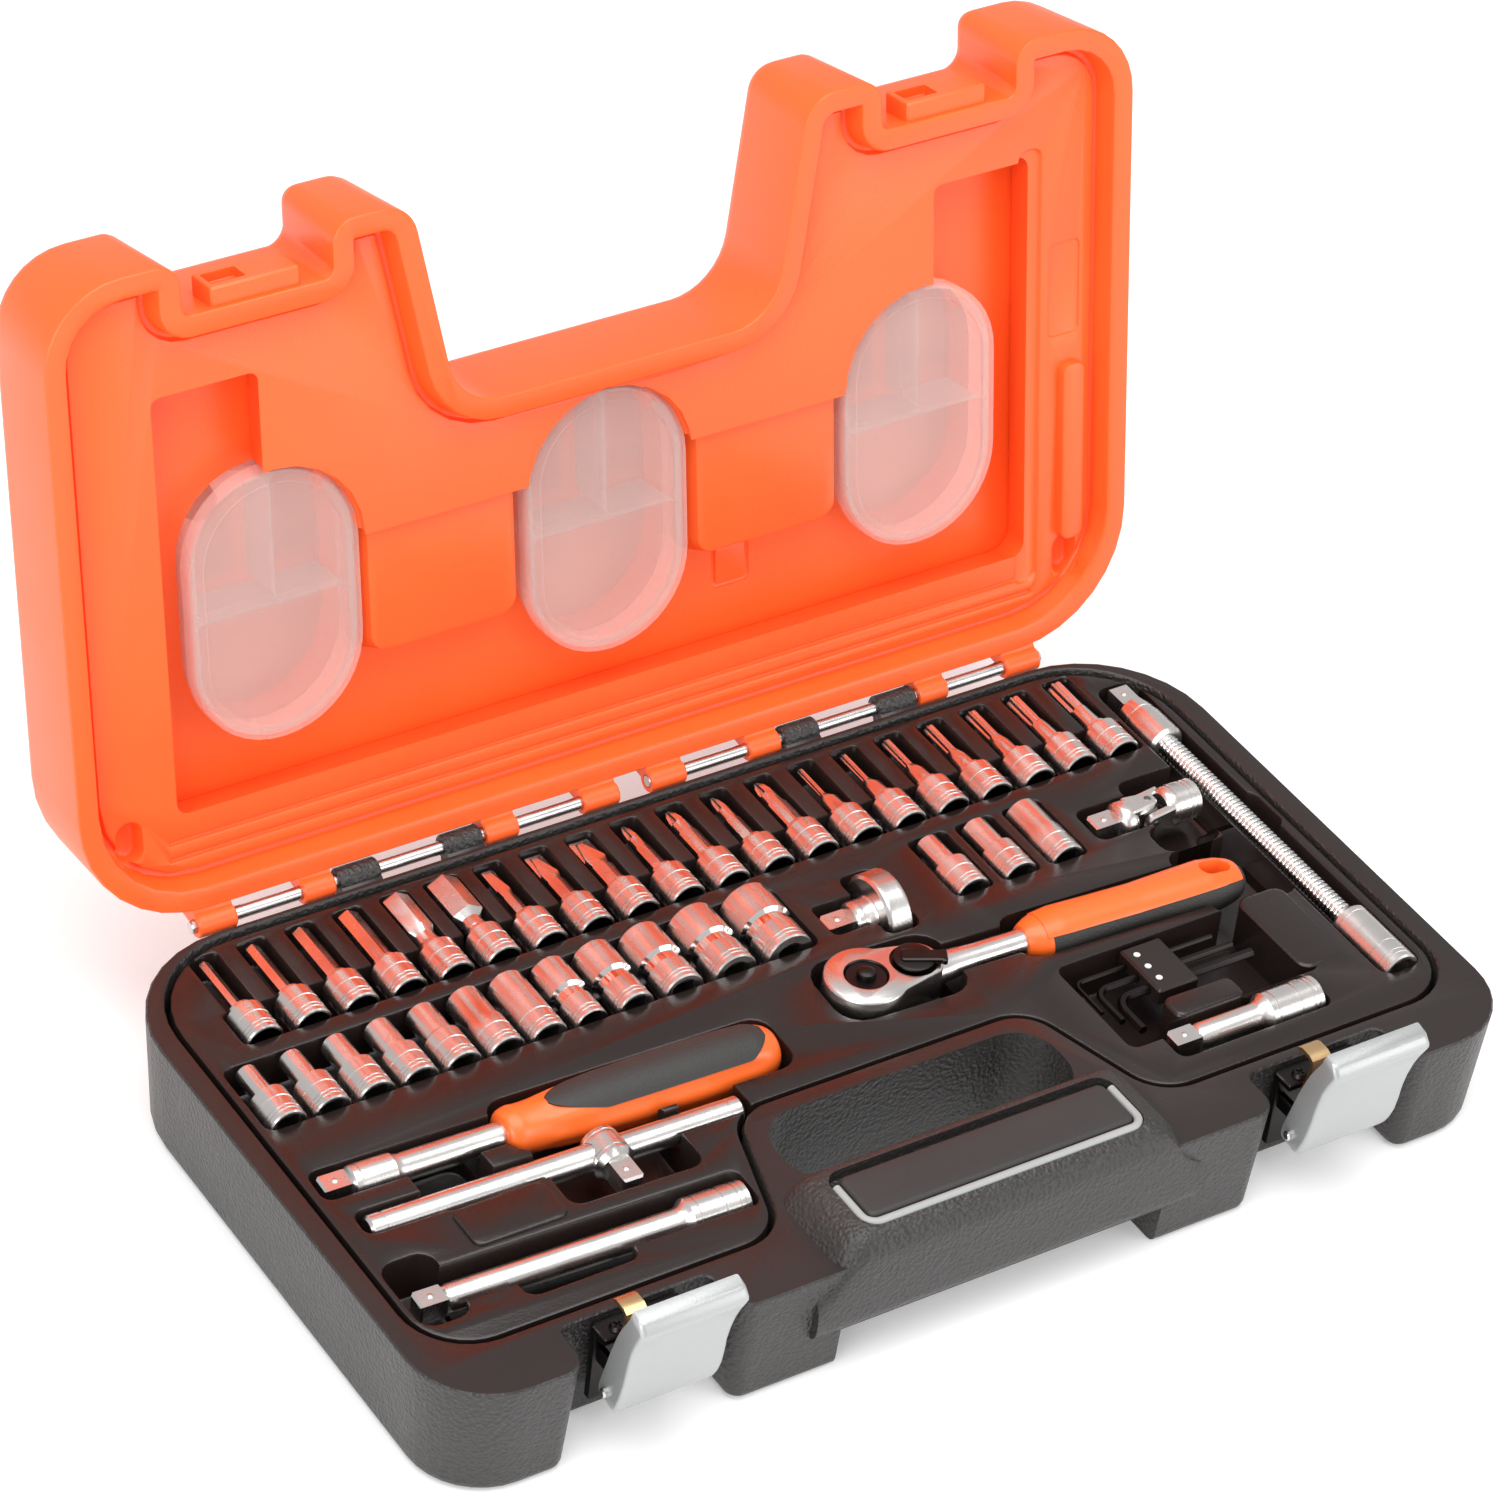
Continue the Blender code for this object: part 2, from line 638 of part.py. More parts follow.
def make_latch(name, side):
    """A draw latch: bracket, pin, lever with its hook. The lever is drawn shut, then opened."""
    x = side * LATCH_X
    pin_at = Vector((x, LATCH_PIN_Y, LATCH_PIN_Z))
    half = BRACKET_W / 2
    wall = NOTCH_FLOOR_Y - GAP
    plate = [(wall, 10 * MM), (wall, RIM_Z - 2 * MM), (wall - LEDGE, RIM_Z - 2 * MM),
             (wall - LEDGE, RIM_Z - 4.5 * MM), (wall - 2.5 * MM, RIM_Z - 4.5 * MM),
             (wall - 2.5 * MM, 10 * MM)]
    bracket = piece("latch_bracket_" + name, profile_x(plate, x - half, x + half), BLACK_STEEL)
    cheek = [(wall - 1 * MM, 23 * MM), (wall - 1 * MM, 30 * MM)]
    for k in range(7):
        angle = math.radians(90 + 180 * k / 6)
        cheek.append((LATCH_PIN_Y + CHEEK_R * math.cos(angle), LATCH_PIN_Z + CHEEK_R * math.sin(angle)))
    for way in (-1, 1):
        low, high = sorted((x + way * half, x + way * (half - CHEEK_T)))
        join(bracket, profile_x(cheek, low, high))
    cut(bracket, place(x_bore(LATCH_PIN_R), pin_at))
    smooth(bracket, 30)

    pin_half = LATCH_W / 2 + 0.8 * MM
    pin = turned([(-pin_half, LATCH_PIN_R), (pin_half, LATCH_PIN_R)], 12)
    smooth(piece("latch_pin_" + name, place(pin, pin_at), STEEL, pin_at))

    axis = axis_empty("latch_axis_" + name, pin_at, LEVER_OPEN)
    foot = LATCH_PIN_Z - 5 * MM
    outer = [(-4.5 * MM, foot), (-6.4 * MM, foot + 7 * MM), (-6.0 * MM, foot + 0.55 * LEVER_L),
             (-6.8 * MM, foot + 0.85 * LEVER_L), (-8.6 * MM, foot + LEVER_L)]
    inner = [(y + LEVER_T, z + 0.3 * MM) for y, z in reversed(outer)]
    skin = [(LATCH_PIN_Y + y, z) for y, z in outer + inner]
    lever = piece("latch_lever_" + name,
                  profile_x(skin, x - LATCH_W / 2, x + LATCH_W / 2), LATCH_SILVER)
    ear = [(-5.2 * MM, 9 * MM), (-5.2 * MM, -2 * MM)]
    for k in range(6):
        angle = math.radians(-90 + 180 * k / 5)
        ear.append((EAR_R * math.cos(angle), EAR_R * math.sin(angle)))
    lug = [(-5.2 * MM, 6 * MM), (-4.6 * MM, -3 * MM), (-1 * MM, -4 * MM), (3.5 * MM, -3.3 * MM),
           (5.6 * MM, -1.5 * MM), (5 * MM, 1.2 * MM), (0, 3.8 * MM)]
    for way in (-1, 1):
        for outline, out, thick in ((ear, LATCH_W / 2, EAR_T), (lug, half - CHEEK_T - GAP, EAR_T)):
            low, high = sorted((x + way * out, x + way * (out - thick)))
            join(lever, profile_x([(LATCH_PIN_Y + y, LATCH_PIN_Z + z) for y, z in outline], low, high))
    hook_at = pin_at + Vector((0, *HOOK_PIVOT))
    cut(lever, place(x_bore(LATCH_PIN_R), pin_at))
    cut(lever, place(x_bore(HOOK_ROD_R, half - CHEEK_T), hook_at))
    smooth(lever, 30)
    move_origin(lever, pin_at)
    hang(lever, axis)

    catch_top = LID_Z + CATCH_HIGH
    y0 = hook_at.y - HOOK_T / 2
    y1 = NOTCH_FLOOR_Y - CATCH_D + 3 * MM
    t = HOOK_T
    hook = [(y0, hook_at.z), (y0, catch_top + GAP + t), (y1, catch_top + GAP + t),
            (y1, catch_top + GAP), (y0 + t, catch_top + GAP), (y0 + t, hook_at.z)]
    hook_piece = piece("latch_hook_" + name,
                       profile_x(hook, x - HOOK_W / 2, x + HOOK_W / 2), BRASS)
    reach = half - CHEEK_T - GAP
    join(hook_piece, place(turned([(-reach, HOOK_ROD_R), (reach, HOOK_ROD_R)], 12), hook_at))
    smooth(hook_piece, 30)
    move_origin(hook_piece, hook_at)
    hook_axis = axis_empty("hook_axis_" + name, hook_at - pin_at, -HOOK_FOLLOW * LEVER_OPEN)
    hook_axis.parent = axis
    hook_piece.parent = hook_axis
    hook_piece.location = (0, 0, 0)


def x_bore(radius, reach=LATCH_W):
    """A hole along X through the origin for a pin of a radius."""
    return turned([(-reach, radius + RUN), (reach, radius + RUN)], 12)


# ---------------------------------------------------------------- tray and its pockets


def pocket(x0, x1, y0, y1, floor, turn=0.0, pivot=(0, 0)):
    """A box-shaped pocket, open at the top, turned about a point as its tool is."""
    body = box((x0 - pivot[0], y0 - pivot[1], floor), (x1 - pivot[0], y1 - pivot[1], RIM_Z + 5 * MM))
    return place(body, (pivot[0], pivot[1], 0), turn)


def lying_pocket(length, radius, where, turn=0.0, floor=None):
    """A pocket for a tool that lies along its own X axis from its left end."""
    gap = POCKET_GAP
    low = where[2] - radius - gap if floor is None else floor
    return pocket(where[0] - gap, where[0] + length + gap, where[1] - radius - gap,
                  where[1] + radius + gap, low, turn, where[:2])


def socket_places():
    """Size, drive diameter, nose diameter and place along X of each hexagon socket."""
    places = []
    x = SOCKET_FIRST_X
    previous = None
    for size in SOCKET_SIZES:
        body = max(SOCKET_DRIVE_D, (1.28 * size + 0.4) * MM)
        if previous is not None:
            x += (previous + body) / 2 + SOCKET_SPACE
        nose = min((1.45 * size + 0.6) * MM, body)
        places.append((size, body, nose, x))
        previous = body
    return places


def disc_place():
    """Place of the spinner disc, in the room left between two rows of sockets."""
    size, body, nose, last = socket_places()[-1]
    low = last + body / 2
    room = STAR_X[0] - SOCKET_DRIVE_D / 2 - low - DISC_NECK_L - DISC_T
    return low + DISC_SHARE * room, DISC_Y, DISC_Z


def make_tray():
    bottom = WALL + GAP
    tray = piece("tool_tray", slab(tray_corners(), bottom, TRAY_TOP), BLACK_TRAY)
    cut(tray, slab(inset(tray_corners(), TRAY_SKIN), 0, TRAY_UNDER))
    rows_back = CASE_D / 2 - TRAY_BACK_STRIP - TRAY_SKIN - 8 * MM
    cut(tray, box((SOCKET_FIRST_X, SOCKET_FRONT_Y + SOCKET_L, bottom),
                  (BIT_FIRST_X + BIT_COUNT * BIT_PITCH - 12 * MM, rows_back, ROWS_UNDER)))
    pockets = []
    gap = POCKET_GAP
    reach = SOCKET_DRIVE_D / 2 + gap
    shoulder = BIT_FRONT_Y + BIT_BODY_L + gap
    pockets.append(pocket(BIT_FIRST_X - reach, BIT_FIRST_X + (BIT_COUNT - 1) * BIT_PITCH + reach,
                          BIT_FRONT_Y - gap, shoulder, SOCKET_AXIS_Z - reach))
    for i in range(BIT_COUNT):
        x = BIT_FIRST_X + i * BIT_PITCH
        pockets.append(pocket(x - BIT_SLOT_W / 2, x + BIT_SLOT_W / 2, shoulder - 1 * MM,
                              BIT_FRONT_Y + BIT_L + gap, SOCKET_AXIS_Z - reach))
    rows = [(x, body) for _, body, _, x in socket_places()] + [(x, SOCKET_DRIVE_D) for x in STAR_X]
    for x, body in rows:
        reach = body / 2 + gap
        pockets.append(pocket(x - reach, x + reach, SOCKET_FRONT_Y - gap,
                              SOCKET_FRONT_Y + SOCKET_L + gap, SOCKET_AXIS_Z - reach))
    pockets.append(lying_pocket(EXT_LONG_L, BOSS_R, EXT_LONG_AT, EXT_LONG_TURN))
    pockets.append(lying_pocket(EXT_SHORT_L, BOSS_R, EXT_SHORT_AT))
    x, y, z = FLEX_AT
    pockets.append(pocket(x - BOSS_R - gap, x + BOSS_R + gap, y - FLEX_L - gap, y + gap,
                          z - BOSS_R - gap))
    x, y, z = UJ_AT
    pockets.append(lying_pocket(UJ_L, BOSS_R, UJ_AT))
    swing = UJ_REACH * math.sin(UJ_SWING) + BOSS_R + gap
    pockets.append(pocket(x + UJ_CENTRE - 1 * MM, x + UJ_L + 2.5 * gap, y - swing, y + swing,
                          z - BOSS_R - gap))
    x, y, z = disc_place()
    pockets.append(pocket(x - gap, x + DISC_NECK_L + DISC_T + gap, y - DISC_R - gap, y + DISC_R + gap,
                          z - DISC_R - gap))
    x, y, z = RATCHET_AT
    pockets.append(pocket(x - HEAD_R - gap, x + HEAD_REACH + 4 * MM, y - HEAD_R - gap,
                          y + HEAD_R + gap, TRAY_UNDER + 2 * MM, RATCHET_TURN, (x, y)))
    pockets.append(pocket(x + HEAD_REACH, x + RATCHET_L + gap, y - RATCHET_GRIP_R - gap,
                          y + RATCHET_GRIP_R + gap, z - RATCHET_GRIP_R - gap, RATCHET_TURN, (x, y)))
    pockets.append(lying_pocket(SPINNER_GRIP_X, BOSS_R, SPINNER_AT, SPINNER_TURN))
    x, y, z = SPINNER_AT
    pockets.append(pocket(x + SPINNER_GRIP_X - gap, x + SPINNER_L + gap, y - SPINNER_R - gap,
                          y + SPINNER_R + gap, z - SPINNER_R - gap, SPINNER_TURN, (x, y)))
    pockets.append(lying_pocket(TBAR_L, SHAFT_R, TBAR_AT, TBAR_TURN))
    x, y, z = TBAR_AT
    slide = TBAR_SLIDE
    pockets.append(pocket(x + TBAR_HEAD_X - slide - THEAD_R - gap, x + TBAR_HEAD_X + slide + THEAD_R + gap,
                          y - THEAD_TIP - gap, y + THEAD_BACK + gap, z - THEAD_R - gap,
                          TBAR_TURN, (x, y)))
    x, y, z = KEYS_AT
    pockets.append(pocket(x - 2 * MM, x + KEY_LONG + KEY_SLIDE + 4 * MM, y - KEY_BAY_D, y + 5 * MM,
                          TRAY_UNDER + 5 * MM))
    for body in pockets:
        cut(tray, body)


# ---------------------------------------------------------------- tools


def tool_axis(body, where, turn=0.0):
    """Lays a body drawn along +X from the origin in its place in the tray."""
    return place(body, where, turn)


def socket_body(drive_d, nose_d, hole):
    """A socket from its square drive end to the nose that takes the nut or the bit."""
    edge = 0.4 * MM
    drive = drive_d / 2
    nose = nose_d / 2
    square = ("square", SQUARE + 0.15 * MM)
    hollow = 9 * MM
    return turned([
        (hollow, square), (0, square), (0, drive - edge), (edge, drive), (12 * MM, drive),
        (13.5 * MM, nose), (SOCKET_L - edge, nose), (SOCKET_L, nose - edge),
        (SOCKET_L, hole), (SOCKET_L - hollow, hole)])


def make_sockets():
    """The two groups of sockets that lie in the second row, noses to the back."""
    for size, body, nose, x in socket_places():
        label = ("%g" % size).replace(".", "_")
        made = place(socket_body(body if size < 10 else body - 1.2 * MM, nose, ("hex", size * MM)),
                     (x, SOCKET_FRONT_Y, SOCKET_AXIS_Z), math.pi / 2)
        pivot = (x, SOCKET_FRONT_Y + SOCKET_L / 2, SOCKET_AXIS_Z)
        smooth(piece("hex_socket_" + label, made, CHROME, pivot))
    for i, (size, x) in enumerate(zip(STAR_SIZES, STAR_X)):
        nose = (1.3 * size + 1.6) * MM
        made = place(socket_body(SOCKET_DRIVE_D, nose, ("hex", size * MM)),
                     (x, SOCKET_FRONT_Y, SOCKET_AXIS_Z), math.pi / 2)
        pivot = (x, SOCKET_FRONT_Y + SOCKET_L / 2, SOCKET_AXIS_Z)
        smooth(piece("star_socket_%d" % (i + 1), made, CHROME, pivot))


def extension(length):
    """An extension bar: square tip, shaft, and a boss with a square hole."""
    square = ("square", SQUARE + 0.15 * MM)
    neck = length - BOSS_L
    return turned([
        (0, ("square", SQUARE - 0.8 * MM)), (0.6 * MM, ("square", SQUARE)), (TIP_L, ("square", SQUARE)),
        (TIP_L + 1 * MM, SHAFT_R), (neck, SHAFT_R), (neck + 1.5 * MM, BOSS_R),
        (length, BOSS_R), (length, square), (length - 10 * MM, square)])


def make_extensions():
    for name, length, where, turn in (("extension_100", EXT_LONG_L, EXT_LONG_AT, EXT_LONG_TURN),
                                      ("extension_50", EXT_SHORT_L, EXT_SHORT_AT, 0.0)):
        smooth(piece(name, tool_axis(extension(length), where, turn), CHROME, where))


def make_flex():
    """The flexible extension: a drive end, a close-wound shaft and a socket end."""
    square = ("square", SQUARE)
    hole = ("square", SQUARE + 0.15 * MM)
    drive = [(0, ("square", SQUARE - 0.8 * MM)), (0.6 * MM, square), (TIP_L, square), (TIP_L, 4.6 * MM),
             (FLEX_DRIVE_L - 2 * MM, BOSS_R), (FLEX_DRIVE_L, BOSS_R - 0.8 * MM)]
    shaft_end = FLEX_L - FLEX_SOCKET_L
    shaft = [(FLEX_DRIVE_L + RUN, FLEX_SHAFT_R), (shaft_end - RUN, FLEX_SHAFT_R)]
    socket = [(shaft_end, BOSS_R - 0.8 * MM), (shaft_end + 2 * MM, BOSS_R), (FLEX_L, BOSS_R),
              (FLEX_L, hole), (FLEX_L - 10 * MM, hole)]
    for name, sections in (("flex_drive_end", drive), ("flex_shaft", shaft), ("flex_socket_end", socket)):
        made = place(turned(sections), FLEX_AT, -math.pi / 2)
        smooth(piece(name, made, CHROME, FLEX_AT))


def make_universal_joint():
    """Two forks at right angles, held by a cross that both turn on."""
    centre = Vector(UJ_AT) + Vector((UJ_CENTRE, 0, 0))
    square = ("square", SQUARE)
    collar = turned([(0, ("square", SQUARE - 0.8 * MM)), (0.6 * MM, square), (TIP_L, square),
                     (TIP_L, 5 * MM), (TIP_L + 1 * MM, BOSS_R), (UJ_CENTRE - FORK_ROOT, BOSS_R)])
    drive = piece("uj_drive_yoke", place(collar, UJ_AT), CHROME)
    hole = ("square", SQUARE + 0.15 * MM)
    cup = turned([(UJ_CENTRE + FORK_ROOT, BOSS_R), (UJ_L, BOSS_R), (UJ_L, hole), (UJ_L - 9 * MM, hole)])
    socket = piece("uj_socket_yoke", place(cup, UJ_AT), CHROME)
    for way in (-1, 1):
        low, high = sorted((way * FORK_IN, way * FORK_OUT))
        join(drive, box((centre.x - FORK_ROOT - 1 * MM, centre.y - FORK_W / 2, centre.z + low),
                        (centre.x + FORK_W / 2, centre.y + FORK_W / 2, centre.z + high)))
        join(socket, box((centre.x - FORK_W / 2, centre.y + low, centre.z - FORK_W / 2),
                         (centre.x + FORK_ROOT + 1 * MM, centre.y + high, centre.z + FORK_W / 2)))
    bore_y = place(turned([(-BOSS_R, CROSS_PIN_R + RUN), (BOSS_R, CROSS_PIN_R + RUN)], 12),
                   (0, 0, 0), math.pi / 2)
    cut(socket, place(bore_y, centre))
    bore_z = place(turned([(-BOSS_R, CROSS_PIN_R + RUN), (BOSS_R, CROSS_PIN_R + RUN)], 12),
                   (0, 0, 0), math.pi / 2, "Y")
    cut(drive, place(bore_z, centre))
    core = FORK_IN - RUN
    cross = piece("uj_cross", box(centre - Vector((core, core, core)), centre + Vector((core, core, core))),
                  STEEL)
    reach = FORK_OUT - 0.3 * MM
    for turn, axis in ((math.pi / 2, "Z"), (math.pi / 2, "Y")):
        arm = place(turned([(-reach, CROSS_PIN_R), (reach, CROSS_PIN_R)], 12), (0, 0, 0), turn, axis)
        join(cross, place(arm, centre))
    for made in (drive, socket, cross):
        move_origin(made, centre)
        smooth(made)


def make_disc():
    """The spinner disc: a knurled wheel with a square tip."""
    square = ("square", SQUARE)
    hole = ("square", SQUARE + 0.15 * MM)
    neck = DISC_NECK_L
    end = neck + DISC_T
    made = turned([(0, ("square", SQUARE - 0.8 * MM)), (0.6 * MM, square), (TIP_L, square), (TIP_L, BOSS_R),
                   (neck, BOSS_R), (neck, DISC_R - 0.6 * MM), (neck + 0.6 * MM, DISC_R),
                   (end - 0.6 * MM, DISC_R), (end, DISC_R - 0.6 * MM), (end, hole), (end - 6 * MM, hole)], 24)
    smooth(piece("spinner_disc", place(made, disc_place()), CHROME, disc_place()))


def oval_loft(sections, steps=16):
    """A handle along +X through (x, half width, half height) sections."""
    rings = []
    for x, wide, high in sections:
        rings.append([(x, wide * math.cos(math.tau * k / steps), high * math.sin(math.tau * k / steps))
                      for k in range(steps)])
    return loft(rings)


def make_ratchet():
    """The ratchet: head and neck, grip, reversing lever, release button and square drive."""
    at = Vector(RATCHET_AT)

    def lay(body):
        return place(body, at, RATCHET_TURN)

    outline = []
    for k in range(13):
        angle = math.radians(50 + 260 * k / 12)
        outline.append((HEAD_R * math.cos(angle), HEAD_R * math.sin(angle)))
    for k in range(7):
        angle = math.radians(-50 + 100 * k / 6)
        outline.append((LEVER_X + HEAD_END_R * math.cos(angle), HEAD_END_R * math.sin(angle)))
    head = loft([[(x, y, HEAD_LOW) for x, y in outline], [(x, y, HEAD_HIGH) for x, y in outline]])
    body = piece("ratchet_body", head, CHROME)
    neck = turned([(LEVER_X, SHAFT_R), (RATCHET_GRIP_X + TANG_L, SHAFT_R)], 12)
    join(body, neck)
    cut(body, place(turned([(HEAD_LOW - MM, SPINDLE_R + RUN), (SPINDLE_TOP + RUN, SPINDLE_R + RUN)], 24),
                    (0, 0, 0), -math.pi / 2, "Y"))
    cut(body, place(turned([(0, BUTTON_R + RUN), (HEAD_HIGH + MM, BUTTON_R + RUN)], 12),
                    (0, 0, 0), -math.pi / 2, "Y"))
    cut(body, place(turned([(HEAD_HIGH - PEG_L - RUN, PEG_R + RUN), (HEAD_HIGH + MM, PEG_R + RUN)], 12),
                    (LEVER_X, 0, 0), -math.pi / 2, "Y"))
    body.data.transform(Matrix.Translation(at) @ Matrix.Rotation(RATCHET_TURN, 4, "Z"))
    move_origin(body, at)
    smooth(body, 30)

    square = ("square", SQUARE)
    spindle = turned([(SPINDLE_LOW, ("square", SQUARE - 0.8 * MM)), (SPINDLE_LOW + 0.6 * MM, square),
                      (HEAD_LOW + 1 * MM, square), (HEAD_LOW + 1 * MM, SPINDLE_R), (SPINDLE_TOP, SPINDLE_R)], 12)
    smooth(piece("ratchet_drive", lay(place(spindle, (0, 0, 0), -math.pi / 2, "Y")), STEEL, at))
    button = turned([(SPINDLE_TOP + BUTTON_TRAVEL + 0.5 * MM, BUTTON_R),
                     (HEAD_HIGH + 1.6 * MM, BUTTON_R), (HEAD_HIGH + 2 * MM, BUTTON_R - 0.5 * MM)], 12)
    smooth(piece("ratchet_release_button", lay(place(button, (0, 0, 0), -math.pi / 2, "Y")), BLACK_STEEL, at))

    pivot = at + Matrix.Rotation(RATCHET_TURN, 3, "Z") @ Vector((LEVER_X, 0, 0))
    tail = [(-5 * MM, -2.2 * MM, 1.5 * MM), (8.5 * MM, -2.8 * MM, 2 * MM),
            (8.5 * MM, 2.8 * MM, 2 * MM), (-5 * MM, 2.2 * MM, 1.5 * MM)]
    switch = piece("ratchet_reverse_lever",
                   slab(tail, HEAD_HIGH + GAP, HEAD_HIGH + LEVER_PLATE, 2), BLACK_STEEL)
    peg = place(turned([(HEAD_HIGH - PEG_L, PEG_R), (HEAD_HIGH + LEVER_PLATE - 0.5 * MM, PEG_R)], 12),
                (0, 0, 0), -math.pi / 2, "Y")
    join(switch, peg)
    switch.data.transform(Matrix.Translation(pivot) @ Matrix.Rotation(RATCHET_TURN + REVERSE_REST, 4, "Z"))
    move_origin(switch, pivot)
    smooth(switch)

    r = RATCHET_GRIP_R
    start = RATCHET_GRIP_X
    length = RATCHET_L - start
    grip = piece("ratchet_grip", oval_loft([
        (start, 0.62 * r, 0.62 * r), (start + 5 * MM, 0.95 * r, 0.9 * r), (start + 0.5 * length, 0.86 * r, 0.82 * r),
        (start + 0.86 * length, r, 0.9 * r), (start + 0.96 * length, 0.78 * r, 0.7 * r),
        (start + length, 0.35 * r, 0.35 * r)]), RUBBER)
    cut(grip, turned([(start - MM, SHAFT_R + RUN), (start + TANG_L + RUN, SHAFT_R + RUN)], 12))
    cut(grip, place(turned([(-r - MM, 2.4 * MM), (r + MM, 2.4 * MM)], 12),
                    (start + 0.88 * length, 0, 0), -math.pi / 2, "Y"))
    grip.data.transform(Matrix.Translation(at) @ Matrix.Rotation(RATCHET_TURN, 4, "Z"))
    move_origin(grip, at)
    smooth(grip, 50)


def make_spinner():
    """The spinner: a screwdriver-type handle on a quarter inch square shaft."""
    r = SPINNER_R
    start = SPINNER_GRIP_X
    length = SPINNER_L - start
    handle = piece("spinner_handle", oval_loft([
        (start, 0.72 * r, 0.72 * r), (start + 2 * MM, 0.8 * r, 0.8 * r), (start + 0.12 * length, 0.78 * r, 0.78 * r),
        (start + 0.3 * length, 0.9 * r, 0.9 * r), (start + 0.65 * length, r, r),
        (start + 0.9 * length, 0.96 * r, 0.96 * r), (start + 0.98 * length, 0.75 * r, 0.75 * r),
        (start + length, 0.5 * r, 0.5 * r)]), ORANGE)
    cut(handle, turned([(start - MM, SHAFT_R + RUN), (start + TANG_L + RUN, SHAFT_R + RUN)], 12))
    square = ("square", SQUARE)
    shaft = turned([(0, ("square", SQUARE - 0.8 * MM)), (0.6 * MM, square), (TIP_L, square), (TIP_L + 1 * MM, 5.2 * MM),
                    (22 * MM, 5.2 * MM), (24 * MM, SHAFT_R), (start + TANG_L, SHAFT_R)])
    shaft_piece = piece("spinner_shaft", shaft, CHROME)
    for made in (handle, shaft_piece):
        made.data.transform(Matrix.Translation(SPINNER_AT) @ Matrix.Rotation(SPINNER_TURN, 4, "Z"))
        move_origin(made, SPINNER_AT)
        smooth(made, 50)


def make_t_bar():
    """The sliding T bar and the head with a square tip that slides along it."""
    edge = 0.6 * MM
    bar = turned([(0, SHAFT_R - edge), (edge, SHAFT_R), (TBAR_L - edge, SHAFT_R), (TBAR_L, SHAFT_R - edge)])
    smooth(piece("t_bar", place(bar, TBAR_AT, TBAR_TURN), CHROME, TBAR_AT))
    square = ("square", SQUARE)
    body = turned([(-THEAD_BACK, THEAD_R - 1 * MM), (-THEAD_BACK + 1 * MM, THEAD_R), (THEAD_R, THEAD_R),
                   (THEAD_R, square), (THEAD_TIP - 0.6 * MM, square), (THEAD_TIP, ("square", SQUARE - 0.8 * MM))])
    head = piece("t_bar_head", place(body, (TBAR_HEAD_X, 0, 0), -math.pi / 2), CHROME)
    cut(head, turned([(0, SHAFT_R + RUN), (TBAR_L, SHAFT_R + RUN)], 12))
    head.data.transform(Matrix.Translation(TBAR_AT) @ Matrix.Rotation(TBAR_TURN, 4, "Z"))
    pivot = Vector(TBAR_AT) + Matrix.Rotation(TBAR_TURN, 3, "Z") @ Vector((TBAR_HEAD_X, 0, 0))
    move_origin(head, pivot)
    smooth(head)


def hex_key(size, where):
    """An L-shaped key: the long arm along +X, the short arm towards the front."""
    radius = size / 2 / math.cos(math.pi / 6)
    bend = 2.2 * size
    path = [(Vector((KEY_LONG, 0, 0)), Vector((-1, 0, 0)))]
    for k in range(5):
        angle = math.radians(90 * k / 4)
        point = Vector((bend - bend * math.sin(angle), -bend + bend * math.cos(angle), 0))
        path.append((point, Vector((-math.cos(angle), -math.sin(angle), 0))))
    path.append((Vector((0, -KEY_SHORT, 0)), Vector((0, -1, 0))))
    up = Vector((0, 0, 1))
    rings = []
    for point, ahead in path:
        across = ahead.cross(up)
        rings.append([point + across * radius * math.cos(math.tau * k / 6) + up * radius * math.sin(math.tau * k / 6)
                      for k in range(6)])
    return place(loft(rings), where)


def make_hex_keys():
    """Three small hexagon keys, pushed through a moulded holder."""
    x, y, z = KEYS_AT
    low = z - KEY_HOLDER_H / 2
    holder_x = x + KEY_HOLDER_X
    holder = piece("hex_key_holder", box((holder_x, y - 2 * KEY_PITCH - 5 * MM, low),
                                         (holder_x + KEY_HOLDER_L, y + 4 * MM, low + KEY_HOLDER_H)), BLACK_TRAY)
    for i, size in enumerate(KEY_SIZES):
        at = Vector((x + i * KEY_STAGGER, y - i * KEY_PITCH, z))
        made = hex_key(size, at)
        piece("hex_key_%d" % (i + 1), made, BLACK_STEEL, at)
        bore = turned([(-KEY_LONG, ("hex", size + 2 * RUN)), (KEY_LONG, ("hex", size + 2 * RUN))])
        cut(holder, place(bore, (holder_x, at.y, at.z)))
    move_origin(holder, (holder_x, y, z))


# ---------------------------------------------------------------- assembly


make_base()
make_grip()
make_hinge_pins()
lid_axis = axis_empty("lid_axis", (0, HINGE_Y, HINGE_Z), -LID_OPEN)
make_lid(lid_axis)
make_organizers(lid_axis)
for latch_name, latch_side in SIDES:
    make_latch(latch_name, latch_side)
make_tray()
make_sockets()
make_extensions()
make_flex()
make_universal_joint()
make_disc()
make_ratchet()
make_spinner()
make_t_bar()
make_hex_keys()
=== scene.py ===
"""A quarter inch socket wrench set in its orange and black carrying case, lid open.

The pieces are made in the order the set goes together: the case's base, its tray, the
latches and the hinge, the lid with its organizers, then the tools that lie in the tray.
"""
import math

import bmesh
import bpy
from mathutils import Matrix, Vector


